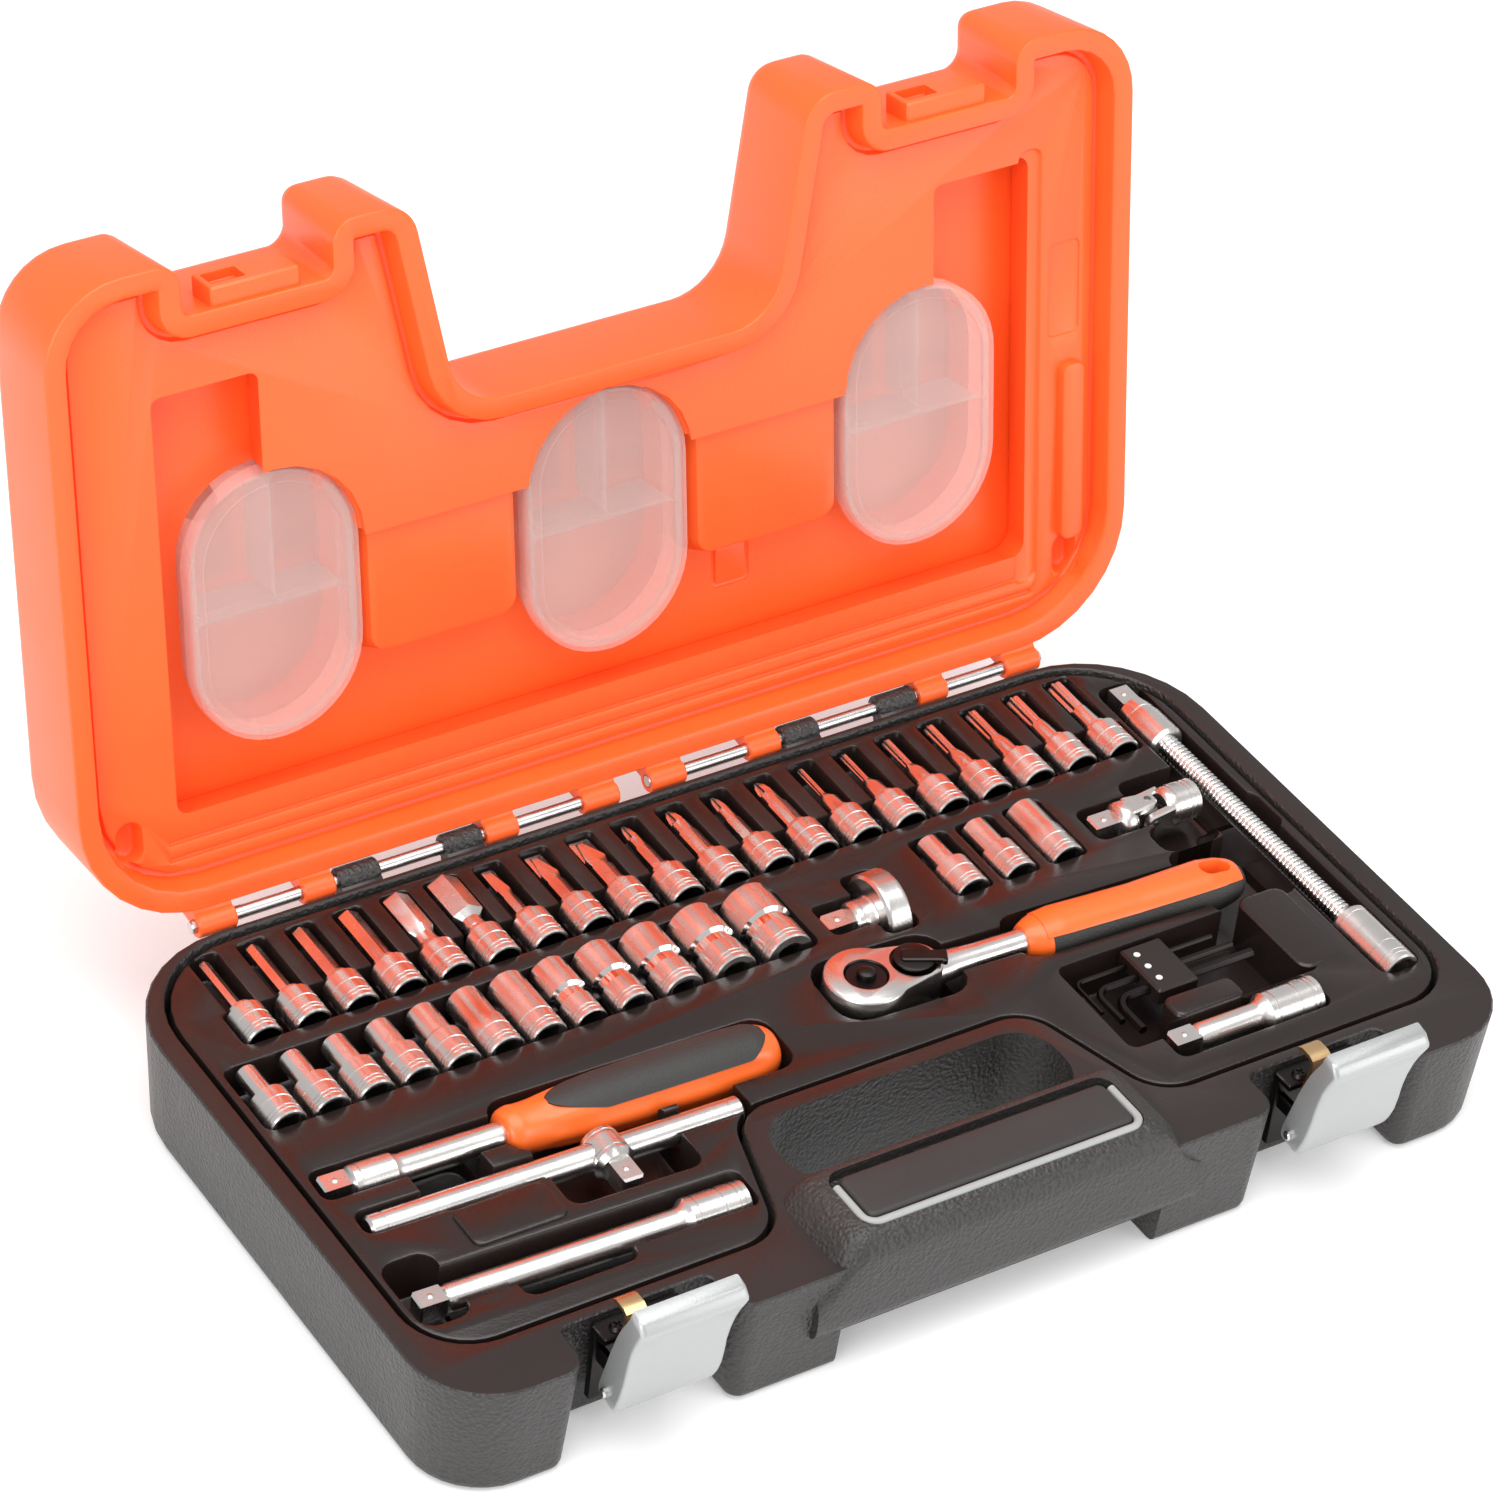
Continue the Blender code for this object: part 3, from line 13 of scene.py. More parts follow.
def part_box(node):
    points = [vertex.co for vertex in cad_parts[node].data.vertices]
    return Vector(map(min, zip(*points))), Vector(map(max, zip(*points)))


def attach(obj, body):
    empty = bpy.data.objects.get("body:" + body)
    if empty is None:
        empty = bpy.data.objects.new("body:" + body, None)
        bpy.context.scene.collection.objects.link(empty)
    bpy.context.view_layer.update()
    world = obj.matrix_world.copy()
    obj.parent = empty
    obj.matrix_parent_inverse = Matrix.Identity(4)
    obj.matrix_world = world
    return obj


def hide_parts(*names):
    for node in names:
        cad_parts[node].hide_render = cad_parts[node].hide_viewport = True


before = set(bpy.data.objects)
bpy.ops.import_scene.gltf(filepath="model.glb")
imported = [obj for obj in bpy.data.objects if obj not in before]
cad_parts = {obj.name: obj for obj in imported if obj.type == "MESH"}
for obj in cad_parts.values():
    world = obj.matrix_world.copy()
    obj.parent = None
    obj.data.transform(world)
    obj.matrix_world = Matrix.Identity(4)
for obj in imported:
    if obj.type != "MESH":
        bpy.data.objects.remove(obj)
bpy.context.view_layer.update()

MM = 0.001

# ---------------------------------------------------------------- studio and camera
# A pale floor, one large soft light over the set, one softer light from the left and a low
# fill, with a camera standing to the left in front of the case and looking down on it.


def light(name, where, aim, size, power, colour=(1, 1, 1)):
    lamp = bpy.data.lights.new(name, "AREA")
    lamp.shape = "RECTANGLE"
    lamp.size, lamp.size_y = size
    lamp.energy = power
    lamp.color = colour
    made = bpy.data.objects.new(name, lamp)
    bpy.context.scene.collection.objects.link(made)
    made.location = where
    made.rotation_euler = (Vector(aim) - Vector(where)).to_track_quat("-Z", "Y").to_euler()
    return made


light("overhead", (-0.1, -0.15, 1.3), (0, 0, 0.05), (1.5, 1.1), 17)
light("left_front", (-1.3, -0.7, 0.75), (0, 0, 0.08), (1.0, 0.8), 11)
light("right_front", (0.9, -1.2, 0.5), (0, 0, 0.06), (0.9, 0.6), 6)

world = bpy.data.worlds.new("studio")
bpy.context.scene.world = world
world.use_nodes = True
sky = world.node_tree.nodes["Background"].inputs
sky["Color"].default_value = (1, 1, 1, 1)
sky["Strength"].default_value = 0.62
bpy.context.scene.view_settings.view_transform = "Standard"

EYE = Vector((-774.61, -1003.17, 1111.11)) * MM
HEADING, TILT, ROLL = (math.radians(angle) for angle in (36.4297, 38.0064, 6.6445))
camera_data = bpy.data.cameras.new("camera")
camera_data.sensor_width = 36
camera_data.lens = 142.5
camera = bpy.data.objects.new("camera", camera_data)
bpy.context.scene.collection.objects.link(camera)
turn = (Matrix.Rotation(-HEADING, 3, "Z") @ Matrix.Rotation(math.pi / 2 - TILT, 3, "X")
        @ Matrix.Rotation(ROLL, 3, "Z"))
camera.matrix_world = Matrix.Translation(EYE) @ turn.to_4x4()
bpy.context.scene.camera = camera

floor_mesh = bmesh.new()
bmesh.ops.create_grid(floor_mesh, x_segments=1, y_segments=1, size=4.0)
floor_data = bpy.data.meshes.new("floor")
floor_mesh.to_mesh(floor_data)
floor = bpy.data.objects.new("floor", floor_data)
bpy.context.scene.collection.objects.link(floor)
floor_surface = bpy.data.materials.new("floor")
floor_surface.use_nodes = True
floor_finish = floor_surface.node_tree.nodes["Principled BSDF"].inputs
floor_finish["Base Color"].default_value = (0.86, 0.86, 0.86, 1)
floor_finish["Roughness"].default_value = 0.9
floor_finish["Emission Color"].default_value = (1, 1, 1, 1)
floor_finish["Emission Strength"].default_value = 0.22
floor_data.materials.append(floor_surface)

# ---------------------------------------------------------------- base shell
# Injection-moulded black plastic: a deep tray-like shell with a pebbled outside, a smooth
# rim, two tall feet beside the handle and a recess in the front for each latch.

HALF_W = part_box("base_shell")[1][0]
tray_high = Vector(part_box("tool_tray")[1])
RIM_Z = 38 * MM
FRONT_Y = -98 * MM
BACK_Y = 98 * MM
NOTCH_Y = -82 * MM
LATCH_X = 111.5 * MM
HINGE_Y, HINGE_Z = 102.2 * MM, 38.2 * MM
DRAFT = math.radians(4)
FOOT_ROUND = 3 * MM
KNUCKLE_R = 3.7 * MM
PIN_BORE_R = 2.1 * MM


def group(name, inputs, outputs):
    """A shader group with named sockets, and its input and output nodes."""
    tree = bpy.data.node_groups.new(name, "ShaderNodeTree")
    for label, value in inputs:
        tree.interface.new_socket(label, in_out="INPUT", socket_type="NodeSocketFloat").default_value = value
    for label, kind in outputs:
        tree.interface.new_socket(label, in_out="OUTPUT", socket_type=kind)
    return tree, tree.nodes.new("NodeGroupInput"), tree.nodes.new("NodeGroupOutput")


def node(tree, kind, values=None, links=None, **settings):
    """Adds a node, sets it and its sockets, and links other nodes' sockets into it."""
    made = tree.nodes.new(kind)
    for key, value in settings.items():
        setattr(made, key, value)
    for key, value in (values or {}).items():
        made.inputs[key].default_value = value
    for key, socket in (links or {}).items():
        tree.links.new(socket, made.inputs[key])
    return made


def moulded_grain():
    """Spark-eroded texture of a moulded surface, as a height, and a slow mottle."""
    tree, given, out = group("moulded_grain", [("Grain", 0.0008), ("Spread", 0.05)],
                             [("Height", "NodeSocketFloat"), ("Mottle", "NodeSocketFloat")])
    place = node(tree, "ShaderNodeTexCoord").outputs["Object"]
    fine = node(tree, "ShaderNodeMath", {0: 1.0}, {1: given.outputs["Grain"]}, operation="DIVIDE")
    slow = node(tree, "ShaderNodeMath", {0: 1.0}, {1: given.outputs["Spread"]}, operation="DIVIDE")
    cells = node(tree, "ShaderNodeTexVoronoi", {"Randomness": 1.0},
                 {"Vector": place, "Scale": fine.outputs[0]}, feature="SMOOTH_F1")
    noise = node(tree, "ShaderNodeTexNoise", {"Detail": 2.0}, {"Vector": place, "Scale": fine.outputs[0]})
    both = node(tree, "ShaderNodeMath", {}, {0: cells.outputs["Distance"], 1: noise.outputs["Fac"]},
                operation="ADD")
    mottle = node(tree, "ShaderNodeTexNoise", {"Detail": 3.0}, {"Vector": place, "Scale": slow.outputs[0]})
    tree.links.new(both.outputs[0], out.inputs["Height"])
    tree.links.new(mottle.outputs["Fac"], out.inputs["Mottle"])
    return tree


GRAIN = moulded_grain()


def grained(name, dark, bright, grain, spread, depth):
    """A surface whose colour varies slowly from dark to bright, with a grain of some depth."""
    made = bpy.data.materials.new(name)
    made.use_nodes = True
    tree = made.node_tree
    shader = tree.nodes["Principled BSDF"]
    texture = node(tree, "ShaderNodeGroup", node_tree=GRAIN)
    texture.inputs["Grain"].default_value = grain
    texture.inputs["Spread"].default_value = spread
    colour = node(tree, "ShaderNodeMix", {6: (*dark, 1), 7: (*bright, 1)},
                  {0: texture.outputs["Mottle"]}, data_type="RGBA")
    tree.links.new(colour.outputs[2], shader.inputs["Base Color"])
    bump = node(tree, "ShaderNodeBump", {"Strength": 1.0, "Distance": depth},
                {"Height": texture.outputs["Height"]})
    tree.links.new(bump.outputs["Normal"], shader.inputs["Normal"])
    return made, tree, shader.inputs, texture.outputs["Mottle"]


def polish(tree, sockets, mottle, low, high, smooth, rough):
    """Roughness that follows the mottle."""
    spans = {"From Min": low, "From Max": high, "To Min": smooth, "To Max": rough}
    varied = node(tree, "ShaderNodeMapRange", spans, {"Value": mottle})
    tree.links.new(varied.outputs["Result"], sockets["Roughness"])


def moulded(name, dark, bright, roughness, grain, depth, coat=0.0):
    """Moulded plastic."""
    made, tree, sockets, mottle = grained(name, dark, bright, grain, 0.05, depth)
    polish(tree, sockets, mottle, 0.3, 0.7, roughness - 0.04, roughness + 0.05)
    sockets["Coat Weight"].default_value = coat
    sockets["Coat Roughness"].default_value = 0.3
    return made


PEBBLED_BLACK = moulded("pebbled_black", (0.02, 0.018, 0.0175), (0.033, 0.03, 0.028), 0.4, 0.0012, 0.0004)
RIM_BLACK = moulded("rim_black", (0.014, 0.009, 0.008), (0.021, 0.014, 0.0125), 0.33, 0.0012, 0.00004)


def inset(corners, distance):
    """Moves every edge of a counter-clockwise polygon of (x, y, radius) inwards."""
    moved = []
    count = len(corners)
    for i, (x, y, radius) in enumerate(corners):
        here = Vector((x, y))
        before = here - Vector(corners[i - 1][:2])
        after = Vector(corners[(i + 1) % count][:2]) - here
        into = Vector((-before.y, before.x)).normalized()
        out_of = Vector((-after.y, after.x)).normalized()
        convex = before.x * after.y - before.y * after.x > 0
        shift = (into + out_of) * (distance / (1 + into.dot(out_of)))
        kept = radius - distance if convex else radius + distance
        moved.append((x + shift.x, y + shift.y, max(kept, 0.3 * MM)))
    return moved


def outline(corners, steps=6):
    """Points of a polygon of (x, y, radius) with arcs at its corners."""
    points = []
    count = len(corners)
    for i, (x, y, radius) in enumerate(corners):
        here = Vector((x, y))
        back = (Vector(corners[i - 1][:2]) - here).normalized()
        ahead = (Vector(corners[(i + 1) % count][:2]) - here).normalized()
        half = back.angle(ahead) / 2
        centre = here + (back + ahead).normalized() * radius / math.sin(half)
        first = here + back * radius / math.tan(half) - centre
        last = here + ahead * radius / math.tan(half) - centre
        sweep = first.angle_signed(last)
        for k in range(steps + 1):
            points.append(centre + Matrix.Rotation(-sweep * k / steps, 2) @ first)
    return points


def loft(rings, capped=True):
    """A closed body through rings of equal counts."""
    body = bmesh.new()
    rows = [[body.verts.new(point) for point in ring] for ring in rings]
    count = len(rows[0])
    for low, high in zip(rows, rows[1:]):
        for i in range(count):
            j = (i + 1) % count
            body.faces.new((low[i], low[j], high[j], high[i]))
    if capped:
        body.faces.new(list(reversed(rows[0])))
        body.faces.new(rows[-1])
    bmesh.ops.recalc_face_normals(body, faces=body.faces)
    return body


def layered(corners, levels, steps=6):
    """An upright body through (inset, height) levels of one rounded outline."""
    return loft([[(p.x, p.y, z) for p in outline(inset(corners, d), steps)] for d, z in levels])


def quarter(radius, start, way, count=3):
    """Levels of a quarter round: way 1 closes in going up, -1 opens out going up."""
    levels = []
    for k in range(count + 1):
        angle = math.pi / 2 * k / count
        if way > 0:
            levels.append((radius * (1 - math.cos(angle)), start + radius * math.sin(angle)))
        else:
            levels.append((radius * (1 - math.sin(angle)), start + radius * (1 - math.cos(angle))))
    return levels


def finish_mesh(name, body, surface, angle=35):
    """Makes an object of a body, in place, shaded smooth up to an angle."""
    data = bpy.data.meshes.new(name)
    body.to_mesh(data)
    body.free()
    made = bpy.data.objects.new(name, data)
    bpy.context.scene.collection.objects.link(made)
    data.materials.append(surface)
    data.shade_smooth()
    data.set_sharp_from_angle(angle=math.radians(angle))
    return made


def gathered(bodies):
    """One body that holds several."""
    whole = bmesh.new()
    for body in bodies:
        data = bpy.data.meshes.new("part")
        body.to_mesh(data)
        body.free()
        whole.from_mesh(data)
        bpy.data.meshes.remove(data)
    return whole


def boolean(made, bodies, operation="DIFFERENCE", surface=None, angle=35):
    """Cuts bodies out of a piece, or joins them to it, in one step."""
    tool = finish_mesh("tool", gathered(bodies), surface or made.data.materials[0])
    change = made.modifiers.new("change", "BOOLEAN")
    change.operation = operation
    change.object = tool
    change.use_self = True
    change.material_mode = "TRANSFER"
    graph = bpy.context.evaluated_depsgraph_get()
    result = bpy.data.meshes.new_from_object(made.evaluated_get(graph))
    made.modifiers.clear()
    made.data = result
    result.name = made.name
    bpy.data.objects.remove(tool, do_unlink=True)
    result.shade_smooth()
    result.set_sharp_from_angle(angle=math.radians(angle))
    return made


def moved(body, where=(0, 0, 0), turn=0.0, axis="Z"):
    bmesh.ops.transform(body, verts=body.verts,
                        matrix=Matrix.Translation(where) @ Matrix.Rotation(turn, 4, axis))
    return body


def belongs(made, body, slot_name, *nodes):
    """A finished piece's body, its finish slot, which is not used, and the CAD nodes that it stands for."""
    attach(made, body)
    if nodes:
        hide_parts(*nodes)


def four(x0, x1, y0, y1, radius):
    """The corners of a rounded rectangle, given in millimetres."""
    return [(x * MM, y * MM, radius * MM) for x, y in ((x1, y0), (x1, y1), (x0, y1), (x0, y0))]


def both_sides(right_half):
    """An outline that is the same left and right."""
    return right_half + [(-x, y, r) for x, y, r in reversed(right_half)]


case_corners = both_sides([
    (88.5 * MM, FRONT_Y, 7 * MM), (88.5 * MM, NOTCH_Y, 3 * MM), (134.5 * MM, NOTCH_Y, 3 * MM),
    (134.5 * MM, FRONT_Y, 7 * MM), (HALF_W, FRONT_Y, 24 * MM), (HALF_W, BACK_Y, 38 * MM)])
tray_corners = both_sides([
    (49 * MM, -30 * MM, 14 * MM), (63 * MM, -76.5 * MM, 14 * MM),
    (tray_high.x, -76.5 * MM, 18 * MM), (tray_high.x, tray_high.y, 31 * MM)])
hand_hole = four(-46.5, 46.5, -66, -37, 12)

lean = math.tan(DRAFT)
shell_levels = [(d + lean * (RIM_Z - z), z) for d, z in quarter(FOOT_ROUND, 0, -1)]
shell_levels += [(lean * 1.2 * MM, RIM_Z - 1.2 * MM), (0.1 * MM, RIM_Z - 0.5 * MM), (0.6 * MM, RIM_Z)]
shell = finish_mesh("case_base", layered(case_corners, shell_levels, 8), PEBBLED_BLACK)


def bar_ring(x, low, high, front, back):
    corners = [(front, low, 6 * MM), (back, low, 7 * MM), (back, high, 5 * MM), (front, high, 8 * MM)]
    return [(x, p.x, p.y) for p in outline(corners, 6)]


bar = loft([bar_ring(x * MM, 14 * MM, z * MM, FRONT_Y - 1 * MM, -66 * MM) for x, z in (
    (-63, 32), (-58, 36), (-54.5, 41), (-52, 44), (-49, 45.6), (-46, 46),
    (46, 46), (49, 45.6), (52, 44), (54.5, 41), (58, 36), (63, 32))])
boolean(shell, [bar], "UNION")
cavity = layered(inset(tray_corners, -1.6 * MM),
                 [(0, 2.5 * MM), (0, RIM_Z - 0.8 * MM), (-0.3 * MM, RIM_Z - 0.2 * MM),
                  (-0.8 * MM, RIM_Z + 0.1 * MM), (-0.8 * MM, RIM_Z + 9 * MM)], 8)
hand_inner = layered(hand_hole, [(0, -1 * MM), (0, RIM_Z + 30 * MM)])
under_bar = layered(both_sides([(53 * MM, -108 * MM, 6 * MM), (53 * MM, -60 * MM, 8 * MM)]),
                    [(0, -1 * MM), (0, 14.2 * MM)])
boolean(shell, [cavity, hand_inner, under_bar])

# The grip recess, with the soft pad and its light piping in it.
mid = sum(corner[1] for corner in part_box("handle_grip")) / 2
pad = both_sides([(43.5 * MM, mid - 8.5 * MM, 2.5 * MM), (43.5 * MM, mid + 8.5 * MM, 2.5 * MM)])
boolean(shell, [layered(inset(pad, -3 * MM), [(0.2 * MM, 42.6 * MM), (0, 43 * MM), (0, 48 * MM)])])


def knuckle(side, span, way, reach=9):
    """A hinge knuckle round the pin: way -1 has its arm down the base, 1 up the lid."""
    ring = []
    for k in range(19):
        angle = math.radians(-90 + 270 * k / 18)
        ring.append((HINGE_Y + KNUCKLE_R * math.cos(angle), HINGE_Z - way * KNUCKLE_R * math.sin(angle)))
    arm_end = HINGE_Z + way * reach * MM
    ring += [(96 * MM, HINGE_Z + way * 1.2 * MM), (96 * MM, arm_end), (101 * MM, arm_end)]
    low, high = sorted(side * value * MM for value in span)
    edge = 0.5 * MM
    middle = Vector((sum(p[0] for p in ring) / len(ring), sum(p[1] for p in ring) / len(ring)))

    def at(x, shrink):
        return [(x, middle.x + (y - middle.x) * shrink, middle.y + (z - middle.y) * shrink) for y, z in ring]
    return loft([at(low, 0.9), at(low + edge, 1), at(high - edge, 1), at(high, 0.9)])


def pin_bore():
    """A cutter for the bore along the whole hinge."""
    angles = [math.tau * k / 32 for k in range(32)]
    return loft([[(x, HINGE_Y + PIN_BORE_R * math.cos(a), HINGE_Z + PIN_BORE_R * math.sin(a)) for a in angles]
                 for x in (-HALF_W, HALF_W)])


base_knuckles = [knuckle(side, span, -1) for side in (-1, 1) for span in ((85, 98), (51.5, 63.5))]
boolean(shell, base_knuckles, "UNION")
boolean(shell, [pin_bore()])
shell.data.materials.append(RIM_BLACK)
for face in shell.data.polygons:
    if face.normal.z > 0.8 and face.center.z > 37 * MM and face.center.z < 39 * MM:
        face.material_index = 1
belongs(shell, "case_base", "shell", "base_shell")

SOFT_BLACK = moulded("soft_grip_black", (0.02, 0.018, 0.018), (0.034, 0.03, 0.029), 0.5, 0.0006, 0.00004)
PIPING_GREY = moulded("piping_grey", (0.3, 0.31, 0.3), (0.36, 0.37, 0.36), 0.45, 0.0006, 0.00002)
pad_levels = [(0.2 * MM, 43.1 * MM), (0, 43.3 * MM)] + quarter(1.4 * MM, 45.2 * MM, 1,
                                                               4) + [(5 * MM, 46.6 * MM)]
grip = finish_mesh("handle_pad", layered(pad, pad_levels, 8), SOFT_BLACK)
belongs(grip, "case_base", "rubber", "handle_grip")


def tube(path, radius, surface, name, sides=12):
    """A round strip along a list of points, with closed ends."""
    rings = []
    count = len(path)
    for i, point in enumerate(path):
        ahead = (path[min(i + 1, count - 1)] - path[max(i - 1, 0)]).normalized()
        across = ahead.cross(Vector((0, 0, 1))).normalized()
        up = across.cross(ahead)
        rings.append([point + radius * (across * math.cos(math.tau * k / sides)
                                        + up * math.sin(math.tau * k / sides))
                      for k in range(sides)])
    return finish_mesh(name, loft(rings), surface, 60)


edge_line = outline(inset(pad, -1.55 * MM), 10)
front_run = [Vector((p.x, p.y, 45.3 * MM)) for p in edge_line if p.y < mid + 6.5 * MM]
front_run.sort(key=lambda p: math.atan2(p.x, -(p.y - mid - 12 * MM)))
piping = tube(front_run, 1.25 * MM, PIPING_GREY, "handle_piping")
belongs(piping, "case_base", "piping", "grip_piping")

# ---------------------------------------------------------------- tool tray
# A second black moulding with a semi-gloss skin. Every tool lies in a pocket with rounded
# edges; wider bays beside the pockets let fingers get under a tool.

TRAY_BLACK = moulded("tray_black", (0.011, 0.0065, 0.0055), (0.017, 0.0105, 0.009), 0.27, 0.0007, 0.00003)
TRAY_TOP = tray_high.z
tray = finish_mesh("tray", layered(tray_corners, [(0.6 * MM, 3.2 * MM), (0, 6 * MM), (0, TRAY_TOP - 1 * MM),
                                                  (0.3 * MM, TRAY_TOP - 0.3 * MM), (1 * MM, TRAY_TOP)], 8),
                                                  TRAY_BLACK)


LIP = 0.8 * MM
# Where each long tool's axis starts, and how far the tool is turned, in degrees.
EXTENSION_AT, EXTENSION_TURN = (-161, -53.8), -2
TBAR_AT, TBAR_TURN = (-158.7, -23.8), -1.7
SPINNER_AT, SPINNER_TURN = (-163, -6), -1.7
RATCHET_AT, RATCHET_TURN = (14, -1.5), -2.8


def bay(x0, x1, y0, y1, floor, radius, turn=0.0, pivot=(0, 0)):
    """A pocket cutter in millimetres, turned about a point as its tool is. It has a rounded
    foot, steep walls and a lip that opens out at the top."""
    px, py = pivot
    foot = floor * MM
    levels = [(1.2 * MM, foot), (0.35 * MM, foot + 0.4 * MM), (0, foot + 1.4 * MM), (0, TRAY_TOP - LIP),
              (-0.3 * LIP, TRAY_TOP - 0.3 * LIP), (-LIP, TRAY_TOP + 0.02 * MM), (-LIP, TRAY_TOP + 6 * MM)]
    cutter = layered(four(x0 - px, x1 - px, y0 - py, y1 - py, radius), levels, 4)
    return moved(cutter, (px * MM, py * MM, 0), math.radians(turn))


BIT_PITCH = 15.23
bit_x = [-147 + BIT_PITCH * i for i in range(20)]
pockets = [bay(bit_x[0] - 6.8, bit_x[-1] + 6.8, 52.6, 67, 27.5, 2)]
for i, x in enumerate(bit_x):
    half = 5.6 if i == 5 else 4.6    # the sixth is the widest bit
    pockets.append(bay(x - half, x + half, 64, 91, 27.5, 1.6))
pockets += [bay(-165, 12.6, 19, 46.2, 25.5, 3)]
pockets += [bay(x - 6.6, x + 6.6, 19, 46, 27.5, 2) for x in (65.8, 82.3, 98.9)]
pockets += [
    # long extension, with a finger bay at its middle
    bay(-163, -60, -61, -46.5, 24.5, 3, EXTENSION_TURN, EXTENSION_AT), bay(-135, -100, -68, -58, 21, 4),
    bay(-165.5, -150, -66, -40, 22, 5),
    # T bar and spinner lie side by side
    bay(-161, -42, -28.5, -19, 28, 3, TBAR_TURN, TBAR_AT),
    bay(-106, -65, -41.5, -15.5, 22, 4, TBAR_TURN, TBAR_AT),
    bay(-164.5, -106, -12, 0, 27, 3, SPINNER_TURN, SPINNER_AT),
    bay(-109, -20, -17, 4.6, 22, 6, SPINNER_TURN, SPINNER_AT),
    bay(-140, -118, -30, -2, 22, 5), bay(-60, -42, -30, -14, 24, 4),
    # ratchet
    bay(0.8, 43, -15, 12, 19.5, 8, RATCHET_TURN, RATCHET_AT),
    bay(39, 66, -7, 5, 26, 3, RATCHET_TURN, RATCHET_AT),
    bay(62, 143, -11, 8.4, 23, 6, RATCHET_TURN, RATCHET_AT), bay(124, 152, -22, 8, 22, 5),
    # spinner disc
    bay(18, 36, 20, 33.5, 25, 2), bay(32, 43.5, 13.5, 41, 19.5, 3),
    # universal joint, and the long bay of the flexible extension
    bay(111.5, 134, 21.5, 36, 25, 3), bay(130, 152.5, 15.5, 41.5, 25, 4),
    bay(150.5, 164.2, -64.5, 81, 26, 4), bay(146, 166, 4, 22, 24, 4), bay(126, 146, 8, 20, 25, 4),
    # hexagon keys and short extension
    bay(66.5, 136, -53, -20, 22, 3), bay(77, 130, -67.5, -53.3, 25, 3), bay(66.5, 82, -58, -45, 24, 3)]
boolean(tray, pockets)
# Raised pads between the tools that keep them apart.
pads = []
for corners, rounding in (
        (four(130.8, 147, -52, -18, 4), [(0, -0.4), (0.4, 0), (1.2, 0.2)]),
        (four(86, 110, -53.5, -44, 3), [(0, -0.9), (0.5, -0.1), (1.4, 0.3)]),
        (four(-138, -109, -46, -31, 3), [(0, 0.2), (0.3, 0.7), (1, 1)])):
    pads.append(layered(corners, [(0, 20 * MM)] + [(d * MM, TRAY_TOP + z * MM) for d, z in rounding]))
boolean(tray, pads, "UNION")
boolean(tray, [layered(inset(tray_corners, 2.5 * MM), [(0, 0), (0, 17 * MM)])])
belongs(tray, "case_base", "tray", "tool_tray")

# ---------------------------------------------------------------- hinge pins
# Two plain steel rods, knurled at their outer ends, driven through the knuckles from the sides.


def metal(name, dark, bright, roughness, grain=0.0006, depth=0.00001):
    """Plated or bare steel: small patches that differ a little in colour and polish."""
    made, tree, sockets, mottle = grained(name, dark, bright, grain, 0.012, depth)
    polish(tree, sockets, mottle, 0.25, 0.75, roughness - 0.05, roughness + 0.07)
    sockets["Metallic"].default_value = 1.0
    return made


BRIGHT_STEEL = metal("bright_steel", (0.55, 0.54, 0.53), (0.72, 0.71, 0.7), 0.25)


def section_radius(shape, angle):
    """Distance from the axis to a round, square, six-sided, lobed, flat or cross outline."""
    if not isinstance(shape, tuple):
        return shape
    kind, across = shape[:2]
    if kind == "lobes":
        return across / 2 * (0.87 + 0.13 * math.cos(6 * angle))
    if kind in ("flat", "cross"):
        a, b = across / 2, shape[2] / 2
        c, s = abs(math.cos(angle)) + 1e-6, abs(math.sin(angle)) + 1e-6
        blade = min(a / c, b / s)
        return blade if kind == "flat" else max(blade, min(a / s, b / c))
    step = math.tau / {"square": 4, "hex": 6}[kind]
    return across / 2 / math.cos(((angle + step / 2) % step) - step / 2)


def turned(sections, steps=24, wave=None):
    """A body along +X through (x, shape) sections, in millimetres."""
    rings = []
    for i, (x, shape) in enumerate(sections):
        ring = []
        for k in range(steps):
            angle = math.tau * k / steps
            radius = section_radius(shape, angle)
            if wave and wave[0] <= x <= wave[1]:
                radius += wave[2] * (1 if (k + i) % 2 else -1)
            ring.append((x * MM, radius * MM * math.cos(angle), radius * MM * math.sin(angle)))
        rings.append(ring)
    return loft(rings)


def band(x0, x1, radius, count):
    """Sections of a knurled or rolled band, whose high points the turning alternates."""
    return [(x0 + (x1 - x0) * k / count, radius) for k in range(count + 1)]


for name, side in (("left", -1), ("right", 1)):
    start, end = 5.5, 144.5
    sections = [(start, 1.7), (start + 0.4, 2), (128, 2)] + band(128.4, 141, 2.0, 18) + [(end - 0.4, 2),
                                                                                         (end, 1.7)]
    body = turned(sections, 24, (128.3, 141.1, 0.1))
    if side < 0:
        body = moved(body, turn=math.pi)
    pin = finish_mesh("hinge_rod_" + name, moved(body, (0, HINGE_Y, HINGE_Z)), BRIGHT_STEEL, 25)
    belongs(pin, "case_base", "steel", "hinge_pin_" + name)

# ---------------------------------------------------------------- latches
# Each latch is a folded black bracket screwed in its recess with two cross-head screws, a
# cast silver-grey lever on a pin, and a yellow-plated hook with its spring.

